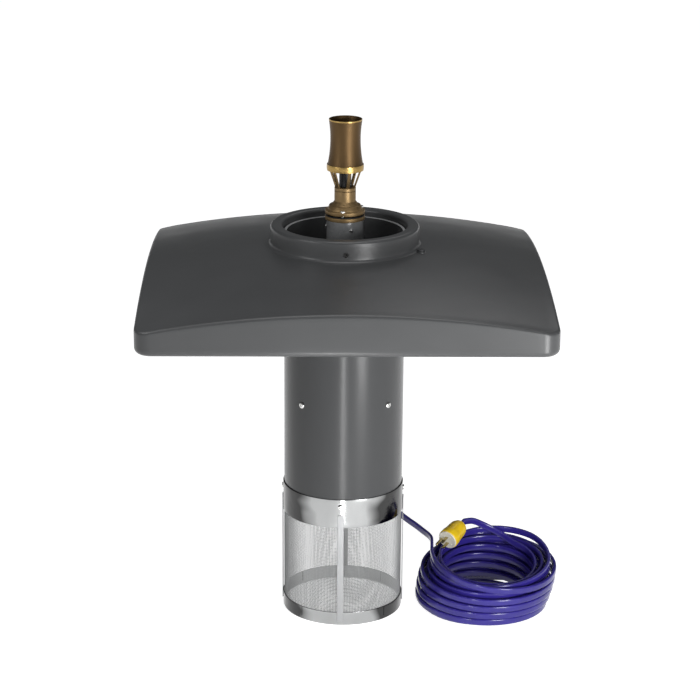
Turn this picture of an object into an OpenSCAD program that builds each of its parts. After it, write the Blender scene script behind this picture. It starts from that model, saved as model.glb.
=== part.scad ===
// Floating pond aerator: a square moulded float carries a shroud tube with a submersible
// pump inside, an intake strainer below and a cascade nozzle on a ball flange above.
// The origin is on the tube's axis, at the underside of the strainer. Front is -Y.

/* [Shroud tube] */
// Outer diameter of the shroud tube
tube_od = 219.1; // [216:0.1:222]
// Wall of the shroud tube
tube_wall = 5; // [3:0.5:7]
// Height of the tube's lower end above the floor
tube_foot = 206; // [190:1:215]
// Length of the shroud tube
tube_len = 518.4; // [505:0.1:560]
// How far the lower spider's screws lie below the motor's top
spider_drop = 28; // [20:1:60]

/* [Float] */
// Width of the square float
float_w = 714; // [600:1:800]
// Height of the float's side at a corner
float_corner_h = 40; // [25:1:55]
// How much the side rises from its corners to its middle
float_rise = 34; // [24:1:40]
// Depth of the float from the collar's top to the underside
float_depth = 141; // [135:1:160]
// Wall of the moulded shell
float_wall = 5; // [3:0.5:8]
// Radius of the float's upright corners
float_corner_r = 30; // [15:1:60]
// Gap between the tube and the collar
collar_gap = 2.45; // [2:0.05:5]
// Wall of the collar
collar_wall = 22; // [18:0.5:30]
// Height of the collar's top above the tube's rim
collar_stand = 12.6; // [8:0.1:18]
// Rounding of the collar's lip
collar_lip_r = 7; // [3:0.5:9]
// Fillet between the collar and the float
collar_fillet = 13; // [6:1:20]

/* [Strainer] */
// Height of the polished band
band_h = 55; // [50:1:70]
// How far the band laps over the tube
band_lap = 41; // [35:1:45]
// Thickness of the band and the base ring
band_wall = 1.8; // [1:0.1:3]
// Width of a strap
strap_w = 12; // [8:1:20]
// Thickness of a strap
strap_t = 1.4; // [1:0.1:3]
// Thickness of the wire mesh
mesh_t = 1.1; // [0.8:0.1:2]
// Height of the base ring
base_ring_h = 25; // [15:1:35]
// Turn of the strainer about the tube
strainer_turn = -3; // [-10:1:10]

/* [Discharge pipe] */
// Outer diameter of the discharge pipe
pipe_od = 66; // [64:0.5:68]
// Wall of the discharge pipe
pipe_wall = 3; // [2.5:0.1:3.5]
// Height of the pipe's top above the tube's rim
pipe_rise = 21.6; // [18:0.1:40]
// Length of the discharge pipe
pipe_len = 112; // [100:1:130]

/* [Nozzle] */
// Diameter of the two flanges
flange_od = 72; // [71:0.5:80]
// Thickness of the lower flange
socket_t = 7; // [6:0.5:10]
// Thickness of the gasket
gasket_t = 2; // [1:0.5:3]
// Thickness of the upper flange
clamp_t = 9; // [8:0.5:12]
// Height of the boss on the upper flange
boss_h = 10; // [9:0.5:11]
// Radius of the ball
ball_r = 26.5; // [26:0.1:26.8]
// Diameter of the neck above the ball
neck_od = 38.6; // [36:0.1:39]
// Bore of the ball and neck
neck_bore = 28; // [24:1:30]
// Height of the neck's top above the ball's centre
neck_h = 37; // [33:1:45]
// Height of the sleeve
sleeve_h = 92.4; // [80:0.1:120]
// Gap between the neck's rim and the sleeve
leg_rise = 30.6; // [24:0.1:40]
// Radius of the sleeve at its foot
sleeve_foot_r = 34.2; // [33:0.1:36]
// Radius of the sleeve at its waist
sleeve_waist_r = 27; // [25:0.1:29]
// Radius of the sleeve at its mouth
sleeve_mouth_r = 30.2; // [28:0.1:34]
// Wall of the sleeve
sleeve_wall = 2.6; // [2:0.1:3.5]
// Number of legs
legs = 6; // [3:1:8]
// Outer radius of the perforated jet tube
jet_r = 10.8; // [9:0.1:11.5]

/* [Pump] */
// Outer radius of the pump's shell
pump_r = 49; // [48:0.5:52]
// Wall of the pump's shell
pump_wall = 1.5; // [1:0.1:2]
// Length of the pump's shell
shell_len = 120; // [118:1:130]
// Height of the discharge head
head_h = 50; // [44:1:60]
// Height of the intake bracket
intake_h = 36; // [34:1:44]
// Number of pump stages
stages = 3; // [1:1:3]
// Height of a stage
stage_h = 36; // [34:1:37]
// Radius of an impeller
impeller_r = 36; // [30:1:38]
// Radius of the pump's shaft
pump_shaft_r = 6.35; // [5:0.05:7]

/* [Motor] */
// Outer radius of the motor's shell
motor_r = 48; // [46:0.5:50]
// Wall of the motor's shell
motor_wall = 1.5; // [1:0.1:2]
// Length of the motor
motor_len = 224; // [210:1:226]
// Radius of the motor's shaft
motor_shaft_r = 8; // [7:0.5:9]
// Length of the stator core
stator_len = 110; // [80:1:120]
// Radius of the rotor
rotor_r = 27; // [22:0.5:28]

/* [Supply lead] */
// Width of the flat lead
lead_w = 12.3; // [10:0.1:12.4]
// Thickness of the flat lead
lead_t = 6.2; // [4:0.1:6.4]
// Gap between the strainer's band and the cord gland
gland_gap = 1; // [0.5:0.5:12]
// Radius of the plug's body
plug_r = 19.5; // [15:0.5:19.5]
// Length of the plug's body
plug_len = 52; // [40:1:52]

/* [Hidden] */
$fn = 96;

// Clearances: an assembled fit, a running fit, a gap between bodies and one overrun for cuts
slip = 0.2;
run_fit = 0.05;
free_gap = 0.3;
over = 1;
front = -90;

// Heights that stack up from the tube
tube_r = tube_od / 2;
tube_in_r = tube_r - tube_wall;
tube_top = tube_foot + tube_len;
collar_top = tube_top + collar_stand;
float_base = collar_top - float_depth;
pipe_r = pipe_od / 2;
pipe_in_r = pipe_r - pipe_wall;
pipe_top = tube_top + pipe_rise;
pipe_foot = pipe_top - pipe_len;
pipe_socket = 18;
head_top = pipe_foot + pipe_socket;
shell_top = head_top - head_h;
shell_foot = shell_top - shell_len;
motor_top = shell_foot - intake_h;
motor_foot = motor_top - motor_len;
spider_screw_h = motor_top - spider_drop;

// Small screws: a pan head with a plain shank, drawn along +X with the head's seat at x = 0
module pan_screw(head_r, head_h, shank_r, shank_len) {
  rotate([0, 90, 0]) {
    rotate_extrude()
      intersection() {
        translate([0, -head_r])
          circle(head_r + head_h);
        square([head_r, head_h]);
      }
    translate([0, 0, -shank_len])
      cylinder(r = shank_r, h = shank_len + head_h / 2);
  }
}

// A ring about Z that stands on the given height
module ring(r_out, r_in, z, h) {
  translate([0, 0, z])
    rotate_extrude()
      translate([r_in, 0])
        square([r_out - r_in, h]);
}

// Copies of the children at the given angles
module at_angles(angles) {
  for (a = angles)
    rotate([0, 0, a])
      children();
}

function fan(n, start) = [for (i = [0:n - 1]) start + i * 360 / n];

// Shroud tube
spider_turn = 1;
spider_angles = fan(4, front + 45 + spider_turn);
band_angles = fan(4, front + strainer_turn);
collar_angles = fan(4, front);
spider_shank_r = 3;
band_shank_r = 2;
collar_shank_r = 3;
band_top = tube_foot + band_lap;
band_foot = band_top - band_h;
band_screw_drop = 14;
band_screw_h = band_top - band_screw_drop;
collar_screw_drop = 23.5;
collar_screw_h = collar_top - collar_screw_drop;
gland_turn = 80;
gland_thread_r = 10;
gland_hex_r = 15;
gland_hex_t = 6;
gland_reach = 7;
gland_h = band_top + gland_gap + gland_hex_r;

module radial_hole(r, z, reach) {
  translate([0, 0, z])
    rotate([0, 90, 0])
      cylinder(r = r, h = reach);
}

module shroud_tube() {
  color("dimgray")
    difference() {
      ring(tube_r, tube_in_r, tube_foot, tube_len);
      at_angles(spider_angles)
        radial_hole(spider_shank_r + slip, spider_screw_h, tube_od);
      at_angles(band_angles)
        radial_hole(band_shank_r + slip, band_screw_h, tube_od);
      at_angles(collar_angles)
        radial_hole(collar_shank_r + slip, collar_screw_h, tube_od);
      at_angles([gland_turn])
        radial_hole(gland_thread_r + slip, gland_h, tube_od);
    }
}

// Float: a rounded square block under a shallow dome
dome_r = float_w * float_w / (8 * float_rise);
dome_z = float_base + float_corner_h + float_rise - sqrt(dome_r * dome_r - float_w * float_w / 4);
bore_r = tube_r + collar_gap;
collar_r = bore_r + collar_wall;
dome_fn = 240;
function dome_at(r) = dome_z + sqrt(dome_r * dome_r - r * r);
fill_plug_gap = 12.5;
fill_plug_at = collar_r + fill_plug_gap;
fill_plug_r = 4.5;
fill_plug_cap_r = 7;
fill_plug_turn = -23;
fill_boss_h = 2.6;
fill_boss_top = dome_at(fill_plug_at) + fill_boss_h;

module rounded_square(w, r) {
  square([w, w - 2 * r], center = true);
  square([w - 2 * r, w], center = true);
  for (x = [-1, 1], y = [-1, 1])
    translate([x * (w / 2 - r), y * (w / 2 - r)])
      circle(r);
}

module float_block(inset) {
  intersection() {
    translate([0, 0, float_base + inset])
      linear_extrude(height = float_depth)
        rounded_square(float_w - 2 * inset, float_corner_r - inset / 2);
    translate([0, 0, dome_z])
      sphere(dome_r - inset, $fn = dome_fn);
  }
}

module collar() {
  w = collar_r - bore_r;
  foot = dome_at(collar_r) - float_wall;
  h = collar_top - foot;
  rotate_extrude()
    translate([bore_r, foot]) {
      square([w, h - collar_lip_r]);
      translate([collar_lip_r, 0])
        square([w - 2 * collar_lip_r, h]);
      for (x = [collar_lip_r, w - collar_lip_r])
        translate([x, h - collar_lip_r])
          circle(collar_lip_r);
    }
  rotate_extrude()
    translate([collar_r - slip, dome_at(collar_r + collar_fillet) - slip])
      difference() {
        square([collar_fillet, collar_fillet]);
        translate([collar_fillet, collar_fillet])
          circle(collar_fillet);
      }
}

collar_head_r = 4.2;
collar_head_h = 5;
collar_recess = 8;

module float_shell() {
  color("darkslategray")
    difference() {
      union() {
        float_block(0);
        collar();
        rotate([0, 0, fill_plug_turn])
          translate([fill_plug_at, 0, fill_boss_top - float_wall])
            cylinder(r = fill_plug_cap_r + over, h = float_wall);
      }
      difference() {
        float_block(float_wall);
        cylinder(r = bore_r + float_wall, h = collar_top);
      }
      cylinder(r = bore_r, h = collar_top + over);
      at_angles(collar_angles) {
        radial_hole(collar_shank_r + slip, collar_screw_h, 2 * collar_r);
        translate([collar_r - collar_recess, 0, 0])
          radial_hole(collar_head_r + 3 * slip, collar_screw_h, 2 * collar_r);
      }
      rotate([0, 0, fill_plug_turn])
        translate([fill_plug_at, 0, fill_boss_top - 3 * float_wall])
          cylinder(r = fill_plug_r + slip, h = 4 * float_wall);
    }
}

module foam_core() {
  color("beige")
    difference() {
      float_block(float_wall + slip);
      cylinder(r = bore_r + float_wall + slip, h = collar_top);
      rotate([0, 0, fill_plug_turn])
        translate([fill_plug_at, 0, fill_boss_top - 3 * float_wall])
          cylinder(r = fill_plug_r + slip, h = 4 * float_wall);
    }
}

module fill_plug() {
  cap_h = 3;
  color("dimgray")
    rotate([0, 0, fill_plug_turn])
      translate([fill_plug_at, 0, 0]) {
        translate([0, 0, fill_boss_top + slip])
          cylinder(r = fill_plug_cap_r, h = cap_h);
        translate([0, 0, fill_boss_top - 2 * float_wall])
          cylinder(r = fill_plug_r, h = 2 * float_wall + cap_h / 2);
      }
}

module collar_screws() {
  seat = collar_r - collar_recess;
  reach = tube_in_r - 2 * collar_shank_r;
  color("silver")
    at_angles(collar_angles)
      translate([seat + slip, 0, collar_screw_h])
        rotate([0, 90, 0])
          difference() {
            union() {
              cylinder(r = collar_head_r, h = collar_head_h);
              translate([0, 0, reach - seat])
                cylinder(r = collar_shank_r, h = seat - reach + collar_head_h / 2);
            }
            translate([0, 0, collar_head_h / 2])
              cylinder(r = collar_head_r / 2, h = collar_head_h, $fn = 6);
          }
}

// Strainer: band and base ring of one radius, straps outside them, mesh inside
shell_r = tube_r + slip;
strap_r = shell_r + band_wall;
floor_lift = 2;
floor_r = shell_r - slip / 4;
mesh_r = tube_r;
notch_w = 1.6;
notch_angles = [front - 43, front + 43, 90 - 43, 90 + 43];
strap_foot_share = 0.3;
strap_drop = 16;
strap_top = band_screw_h - strap_drop;

module strainer_band() {
  color("silver")
    difference() {
      ring(strap_r, shell_r, band_foot, band_h);
      at_angles(band_angles)
        radial_hole(band_shank_r + slip, band_screw_h, tube_od);
    }
}

module strainer_mesh() {
  color("lightgray")
    ring(mesh_r, mesh_r - mesh_t, floor_lift + mesh_t, tube_foot - floor_lift - mesh_t);
}

module strainer_floor() {
  color("lightgray")
    translate([0, 0, floor_lift])
      cylinder(r = floor_r, h = mesh_t);
}

module strainer_straps() {
  foot = base_ring_h * strap_foot_share;
  color("gainsboro")
    at_angles(band_angles)
      intersection() {
        ring(strap_r + strap_t, strap_r + slip / 4, foot, strap_top - foot);
        translate([0, -strap_w / 2, 0])
          cube([tube_od, strap_w, tube_top]);
      }
}

module base_ring() {
  color("silver")
    difference() {
      ring(strap_r, shell_r, 0, base_ring_h);
      at_angles(notch_angles)
        translate([mesh_r, -notch_w / 2, base_ring_h / 4])
          cube([tube_od, notch_w, base_ring_h]);
    }
}

band_head_r = 5.2;
band_head_h = 2.8;

module band_screws() {
  color("white")
    at_angles(band_angles)
      translate([strap_r + slip / 2, 0, band_screw_h])
        pan_screw(band_head_r, band_head_h, band_shank_r, band_wall + 2 * tube_wall);
}

// Discharge pipe and the flange that sits on it
socket_screw_r = 2;
socket_screw_drop = 15;
socket_screw_h = pipe_top - socket_screw_drop;
socket_angles = fan(3, front + 19);
flange_r = flange_od / 2;
spigot_len = 24;
spigot_bore_r = 20;
gasket_z = pipe_top + socket_t;
clamp_z = gasket_z + gasket_t;
ball_lift = 6;
ball_z = clamp_z + ball_lift;
bolt_inset = 4.2;
bolt_pcd_r = flange_r - bolt_inset;
bolt_r = 2;
bolt_angles = fan(3, front - 8);
seat_wall = 2.6;
seat_r = ball_r + seat_wall;
seat_floor = 1;
seat_z = pipe_top + seat_floor;
boss_r = 27.6;

module discharge_pipe() {
  color("gray")
    difference() {
      ring(pipe_r, pipe_in_r, pipe_foot, pipe_len);
      at_angles(socket_angles)
        radial_hole(socket_screw_r + slip, socket_screw_h, pipe_od);
    }
}

module nozzle_socket() {
  color("peru")
    difference() {
      union() {
        ring(flange_r, spigot_bore_r, pipe_top, socket_t);
        ring(pipe_in_r - slip / 2, spigot_bore_r, pipe_top - spigot_len, spigot_len + socket_t / 2);
      }
      translate([0, 0, seat_z])
        cylinder(r = seat_r + free_gap, h = socket_t);
      translate([0, 0, ball_z])
        sphere(ball_r + 2 * free_gap);
      at_angles(socket_angles)
        radial_hole(socket_screw_r + slip, socket_screw_h, pipe_od);
      at_angles(bolt_angles)
        translate([bolt_pcd_r, 0, pipe_top - over])
          cylinder(r = bolt_r + slip / 2, h = 2 * socket_t);
    }
}

module socket_screws() {
  head_r = 3.4;
  head_h = 2.2;
  color("white")
    at_angles(socket_angles)
      translate([pipe_r + slip, 0, socket_screw_h])
        pan_screw(head_r, head_h, socket_screw_r, 3 * pipe_wall);
}

module flange_gasket() {
  color("black")
    difference() {
      ring(flange_r - gasket_t / 2, ball_r + free_gap, gasket_z, gasket_t);
      at_angles(bolt_angles)
        translate([bolt_pcd_r, 0, gasket_z - over])
          cylinder(r = bolt_r + slip / 2, h = gasket_t + 2 * over);
    }
}

module clamp_ring() {
  round_r = 3.2;
  color("peru")
    difference() {
      union() {
        ring(flange_r, ball_r / 2, clamp_z, clamp_t);
        ring(boss_r, ball_r / 2, clamp_z + clamp_t / 2, clamp_t / 2 + boss_h - round_r);
        ring(boss_r - round_r, ball_r / 2, clamp_z + clamp_t / 2, clamp_t / 2 + boss_h);
        translate([0, 0, clamp_z + clamp_t + boss_h - round_r])
          rotate_extrude()
            translate([boss_r - round_r, 0])
              circle(round_r);
      }
      translate([0, 0, ball_z])
        sphere(ball_r + free_gap);
      translate([0, 0, clamp_z - over])
        cylinder(r = ball_r + free_gap, h = ball_z - clamp_z + over);
      at_angles(bolt_angles)
        translate([bolt_pcd_r, 0, clamp_z - over])
          cylinder(r = bolt_r + slip / 2, h = clamp_t + 2 * over);
    }
}

module clamp_bolts() {
  head_r = 3.9;
  head_h = 3.4;
  color("white")
    at_angles(bolt_angles)
      translate([bolt_pcd_r, 0, 0]) {
        translate([0, 0, pipe_top + slip])
          cylinder(r = bolt_r, h = clamp_z + clamp_t - pipe_top + bolt_r);
        translate([0, 0, clamp_z + clamp_t + slip / 2])
          cylinder(r = head_r, h = head_h, $fn = 6);
      }
}

// Nozzle: everything on the ball
neck_r = neck_od / 2;
neck_top = ball_z + neck_h;
leg_hub_h = 7;
leg_hub_top = neck_top + leg_hub_h;
sleeve_z = leg_hub_top + leg_rise;
lip_h_share = 0.118;
leg_top_share = 0.1;
waist_share = 0.62;
leg_t = 6;
leg_turn = 15;

module ball_seat() {
  color("white")
    difference() {
      ring(seat_r, spigot_bore_r, seat_z + free_gap, gasket_z - seat_z - 2 * free_gap);
      translate([0, 0, ball_z])
        sphere(ball_r + free_gap);
    }
}

module nozzle_ball() {
  cut = ball_z - seat_z - free_gap;
  color("darkgoldenrod")
    translate([0, 0, ball_z])
      difference() {
        union() {
          sphere(ball_r);
          cylinder(r = neck_r, h = neck_h);
        }
        translate([0, 0, -ball_r - over])
          cylinder(r = neck_bore / 2, h = ball_r + neck_h + 2 * over);
        translate([0, 0, -cut - ball_r])
          cylinder(r = ball_r, h = ball_r);
      }
}

// Outer curve of the sleeve as a share of its height: foot to waist, then waist to mouth
function sleeve_curve(u) =
  u < waist_share
    ? sleeve_waist_r + (sleeve_foot_r - sleeve_waist_r) * pow(1 - u / waist_share, 2)
    : sleeve_waist_r + (sleeve_mouth_r - sleeve_waist_r) * pow((u - waist_share) / (1 - waist_share), 2);

sleeve_steps = 16;

module nozzle_sleeve() {
  lip_h = sleeve_h * lip_h_share;
  lip_t = 1.2;
  outer = [for (i = [0:sleeve_steps])
    [sleeve_curve(i / sleeve_steps), sleeve_h * i / sleeve_steps]];
  inner = [for (i = [sleeve_steps:-1:0])
    [sleeve_curve(i / sleeve_steps) - sleeve_wall, sleeve_h * i / sleeve_steps]];
  color("sienna")
    translate([0, 0, sleeve_z]) {
      rotate_extrude()
        polygon(concat(outer, inner));
      rotate_extrude()
        translate([sleeve_curve(lip_h_share) - sleeve_wall / 2, 0])
          square([sleeve_wall / 2 + lip_t, lip_h]);
    }
}

module nozzle_legs() {
  top_r = sleeve_curve(leg_top_share) - sleeve_wall - slip;
  ring_h = 8;
  ring_t = 2.4;
  leg_d = 6;
  foot_r = neck_r - leg_d;
  shoulder = sleeve_z - leg_hub_top;
  leg_outline = [
    [foot_r, 0], [neck_r - slip, 0], [neck_r - slip, leg_hub_h],
    [top_r - slip, leg_hub_h + shoulder + ring_h / 2],
    [top_r - ring_t, leg_hub_h + shoulder + ring_h / 2], [foot_r, leg_hub_h]];
  color("saddlebrown")
    translate([0, 0, neck_top]) {
      ring(neck_r, jet_r + slip, slip / 2, leg_hub_h);
      ring(top_r, top_r - ring_t, leg_hub_h + shoulder, ring_h);
      at_angles(fan(legs, front + leg_turn))
        rotate([90, 0, 0])
          translate([0, 0, -leg_t / 2])
            linear_extrude(height = leg_t)
              translate([0, slip])
                polygon(leg_outline);
    }
}

module jet_tube() {
  jet_wall = 1.6;
  jet_drop = 14;
  jet_h = jet_drop + leg_hub_h + leg_rise + sleeve_h / 3;
  hole_r = 1.6;
  hole_rows = 3;
  hole_turns = fan(8, 0);
  foot = neck_top - jet_drop;
  color("black")
    difference() {
      ring(jet_r, jet_r - jet_wall, foot, jet_h);
      for (row = [1:hole_rows])
        at_angles(hole_turns)
          radial_hole(hole_r, leg_hub_top + row * leg_rise / (hole_rows + 1), 2 * jet_r);
    }
}

// Spiders that centre the pump in the tube
spider_h = 20;
spider_arm_w = 10;
spider_pad_w = 26;
spider_pad_t = 9;
spider_ring_t = 6;

module spider(hub_in, z, h, angles) {
  pad_r = tube_in_r - slip;
  difference() {
    intersection() {
      union() {
        ring(hub_in + spider_ring_t, hub_in, z, h);
        at_angles(angles) {
          translate([hub_in + spider_ring_t / 2, -spider_arm_w / 2, z])
            cube([pad_r - hub_in, spider_arm_w, h]);
          translate([pad_r - spider_pad_t, -spider_pad_w / 2, z])
            cube([2 * spider_pad_t, spider_pad_w, h]);
        }
      }
      cylinder(r = pad_r, h = tube_top);
    }
    at_angles(angles)
      translate([pad_r - 2 * spider_pad_t, 0, 0])
        radial_hole(spider_shank_r + slip / 2, z + h / 2, 3 * spider_pad_t);
  }
}

module lower_spider() {
  color("slategray")
    spider(motor_r + slip, spider_screw_h - spider_h / 2, spider_h, spider_angles);
}

module spider_screws() {
  head_r = 5.6;
  head_h = 3.2;
  color("white")
    at_angles(spider_angles)
      translate([tube_r + slip, 0, spider_screw_h])
        pan_screw(head_r, head_h, spider_shank_r, tube_wall + spider_pad_t + slip);
}

head_wall = 6;
neck_head_r = pipe_r + head_wall;

module upper_spider() {
  h = spider_h / 2;
  color("slategray")
    spider(neck_head_r + slip, head_top - h - slip, h, spider_angles);
}

// Pump end
hub_wall = 6;
hub_r = pump_shaft_r + hub_wall;
sleeve_bearing_t = 3;
sleeve_bearing_r = pump_shaft_r + sleeve_bearing_t;
sleeve_bearing_len = 15;
wall_in_r = pump_r - pump_wall;
head_step = 12;
head_spigot = 6;
bracket_spigot = 5;

module discharge_head() {
  pass_step = 2;
  pass_r = pipe_in_r - pass_step;
  rib_t = 5;
  seat_depth = 16;
  color("tan") {
    difference() {
      union() {
        ring(neck_head_r, pass_r, shell_top, head_h);
        ring(pump_r, pass_r, shell_top, head_step);
        ring(wall_in_r - slip, pass_r, shell_top - head_spigot, head_spigot + head_step / 2);
        translate([0, 0, shell_top + head_step])
          cylinder(r1 = pump_r, r2 = neck_head_r, h = head_step);
      }
      translate([0, 0, shell_top - head_spigot - over])
        cylinder(r = pass_r, h = head_h + head_spigot + 2 * over);
      translate([0, 0, head_top - pipe_socket])
        cylinder(r = pipe_r + slip, h = pipe_socket + over);
    }
    difference() {
      union() {
        translate([0, 0, shell_top - head_spigot])
          cylinder(r = hub_r, h = seat_depth + rib_t);
        at_angles(fan(4, 0))
          translate([0, -rib_t / 2, shell_top - head_spigot])
            cube([pass_r + over, rib_t, seat_depth]);
      }
      translate([0, 0, shell_top - head_spigot - over])
        cylinder(r = sleeve_bearing_r, h = seat_depth + over);
    }
  }
}

module top_bearing() {
  color("black")
    ring(sleeve_bearing_r - slip / 2, pump_shaft_r + run_fit, shell_top - head_spigot + slip,
      sleeve_bearing_len);
}

module pump_shell() {
  color("silver")
    ring(pump_r, wall_in_r, shell_foot + slip, shell_len - 2 * slip);
}

stage_z = shell_foot + bracket_spigot + slip;
function stage_foot(i) = stage_z + i * stage_h;
impeller_h = 14;

module diffusers() {
  bowl_t = 2.5;
  plate_lap = 2;
  plate_gap = 4;
  plate_r = impeller_r + plate_lap;
  plate_z = impeller_h + plate_gap;
  vane_h = stage_h - plate_z - bowl_t - slip;
  bowl_r = wall_in_r - slip;
  color("khaki")
    for (i = [0:stages - 1])
      translate([0, 0, stage_foot(i)]) {
        ring(bowl_r, bowl_r - bowl_t, 0, stage_h - slip);
        ring(plate_r, pump_shaft_r + 2 * free_gap, plate_z, bowl_t);
        at_angles(fan(6, 0))
          translate([hub_r, -bowl_t / 2, plate_z + bowl_t / 2])
            cube([bowl_r - hub_r - bowl_t / 2, bowl_t, vane_h]);
      }
}

module impellers() {
  disc_t = 2;
  eye_r = 16;
  lift = 2;
  color("orange")
    for (i = [0:stages - 1])
      translate([0, 0, stage_foot(i) + lift]) {
        ring(impeller_r, eye_r, 0, disc_t);
        ring(impeller_r, pump_shaft_r + slip / 4, impeller_h - 2 * disc_t, disc_t);
        ring(hub_r - over, pump_shaft_r + slip / 4, 0, impeller_h);
        at_angles(fan(6, 30))
          translate([hub_r - 2 * over, -disc_t / 2, disc_t / 2])
            cube([impeller_r - hub_r, disc_t, impeller_h - 3 * disc_t]);
      }
}

coupling_len = 28;
coupling_lift = 4;
coupling_wall = 4;
coupling_z = motor_top + coupling_lift;
shaft_joint = coupling_z + coupling_len / 2;
shaft_rise = 6;

module pump_shaft() {
  color("silver")
    translate([0, 0, shaft_joint + slip])
      cylinder(r = pump_shaft_r, h = shell_top + shaft_rise - shaft_joint);
}

module shaft_coupling() {
  color("gray")
    difference() {
      translate([0, 0, coupling_z])
        cylinder(r = motor_shaft_r + coupling_wall, h = coupling_len);
      translate([0, 0, coupling_z - over])
        cylinder(r = motor_shaft_r + slip / 4, h = coupling_len / 2 + over);
      translate([0, 0, coupling_z])
        cylinder(r = pump_shaft_r + slip / 4, h = coupling_len + over);
    }
}

bracket_t = 5;
bracket_gap = 12;
bracket_in_r = motor_shaft_r + bracket_gap;
post_r = 4;
post_inset = 8;
post_at = pump_r - post_inset;

module intake_bracket() {
  color("tan") {
    ring(pump_r, bracket_in_r, motor_top + slip, bracket_t);
    ring(pump_r, bracket_in_r, shell_foot - bracket_t, bracket_t);
    ring(wall_in_r - slip, bracket_in_r, shell_foot - bracket_t / 2, bracket_spigot + bracket_t / 2);
    at_angles(fan(4, 45))
      translate([post_at, 0, motor_top + bracket_t / 2])
        cylinder(r = post_r, h = intake_h - bracket_t);
  }
}

module intake_screen() {
  slot_w = 3;
  slot_margin = 3;
  slot_h = intake_h - 2 * (bracket_t + slot_margin);
  slot_z = motor_top + bracket_t + slot_margin;
  screen_t = 1.2;
  color("silver")
    difference() {
      ring(pump_r + slip + screen_t, pump_r + slip, motor_top + slip, intake_h - 2 * slip);
      at_angles(fan(24, 0))
        translate([motor_r, -slot_w / 2, slot_z])
          cube([pump_r, slot_w, slot_h]);
      rotate([0, 0, gland_turn])
        radial_hole(lead_w, motor_top, tube_r);
    }
}

// Motor
motor_in_r = motor_r - motor_wall;
cap_t = 16;
base_t = 6;
bearing_r = 12;
bearing_h = 14;
thrust_r = 11;
seal_r = 14;
cap_foot = motor_top - cap_t;
lower_plug_h = 22;
shell_z = motor_foot + base_t;
stator_z = (cap_foot + shell_z + lower_plug_h - base_t) / 2 - stator_len / 2;
connector_h = motor_top - cap_t / 2;
connector_r = 6;
connector_foot = 24;
connector_tip = 58;

module motor_shell() {
  color("silver")
    ring(motor_r, motor_in_r, shell_z + slip, cap_foot - shell_z - 2 * slip);
}

module motor_top_cap() {
  plug_h = bearing_h;
  color("gray")
    difference() {
      union() {
        translate([0, 0, cap_foot])
          cylinder(r = motor_r, h = cap_t);
        translate([0, 0, cap_foot - plug_h])
          cylinder(r = motor_in_r - slip, h = plug_h + cap_t / 2);
      }
      translate([0, 0, cap_foot - plug_h - over])
        cylinder(r = motor_shaft_r + 2 * free_gap, h = plug_h + cap_t + 2 * over);
      translate([0, 0, cap_foot - plug_h - over])
        cylinder(r = bearing_r, h = bearing_h + over);
      translate([0, 0, motor_top - cap_t / 2])
        cylinder(r = seal_r, h = cap_t);
      at_angles([gland_turn])
        translate([connector_foot, 0, 0])
          radial_hole(connector_r, connector_h, motor_r);
    }
}

module motor_bottom_cap() {
  color("gray")
    difference() {
      union() {
        translate([0, 0, motor_foot])
          cylinder(r = motor_r, h = base_t);
        translate([0, 0, motor_foot + base_t / 2])
          cylinder(r = motor_in_r - slip, h = base_t / 2 + lower_plug_h);
      }
      translate([0, 0, shell_z + lower_plug_h - bearing_h])
        cylinder(r = bearing_r, h = bearing_h + over);
      translate([0, 0, shell_z])
        cylinder(r = thrust_r, h = bearing_h + over);
    }
}

module stator_core() {
  color("dimgray")
    ring(motor_in_r - slip, rotor_r + 2 * free_gap, stator_z, stator_len);
}

module stator_windings() {
  coil_h = 18;
  outer_gap = 2;
  inner_gap = 3;
  color("chocolate")
    for (z = [stator_z - coil_h - slip, stator_z + stator_len + slip])
      ring(motor_in_r - outer_gap, rotor_r + inner_gap, z, coil_h);
}

module rotor_core() {
  color("gray")
    ring(rotor_r, motor_shaft_r + slip / 4, stator_z + slip, stator_len - 2 * slip);
}

shaft_foot = shell_z + lower_plug_h - bearing_h;

module motor_shaft() {
  color("silver")
    translate([0, 0, shaft_foot])
      cylinder(r = motor_shaft_r, h = shaft_joint - shaft_foot - slip);
}

module upper_bearing() {
  color("black")
    ring(bearing_r - slip / 2, motor_shaft_r + run_fit, cap_foot - bearing_h, bearing_h);
}

module lower_bearing() {
  color("black")
    ring(bearing_r - slip / 2, motor_shaft_r + run_fit, shaft_foot + slip, bearing_h);
}

module thrust_bearing() {
  color("black")
    translate([0, 0, shell_z + slip])
      cylinder(r = thrust_r - slip, h = shaft_foot - shell_z - slip - free_gap);
}

module shaft_seal() {
  color("black")
    ring(seal_r - slip, motor_shaft_r + run_fit, motor_top - cap_t / 2 + slip, cap_t / 2 - slip);
}

// Flat lead: a section swept along points, its width upright
function unit(v) = v / norm(v);
function smooth(u) = u <= 0 ? 0 : u >= 1 ? 1 : u * u * (3 - 2 * u);
function mix(a, b, u) = a + (b - a) * u;
flat_share = 0.62;

// Section points as [across, up]
function flat_section(sides) =
  sides == 6
    ? [[0, lead_w / 2], [-lead_t / 2, lead_w / 2 * flat_share], [-lead_t / 2, -lead_w / 2 * flat_share],
       [0, -lead_w / 2], [lead_t / 2, -lead_w / 2 * flat_share], [lead_t / 2, lead_w / 2 * flat_share]]
    : [for (i = [0:sides - 1])
        let (a = 360 / sides * (i + 0.5))
        [-lead_t / 2 * sign(sin(a)) * pow(abs(sin(a)), flat_share),
         lead_w / 2 * sign(cos(a)) * pow(abs(cos(a)), flat_share)]];

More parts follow.
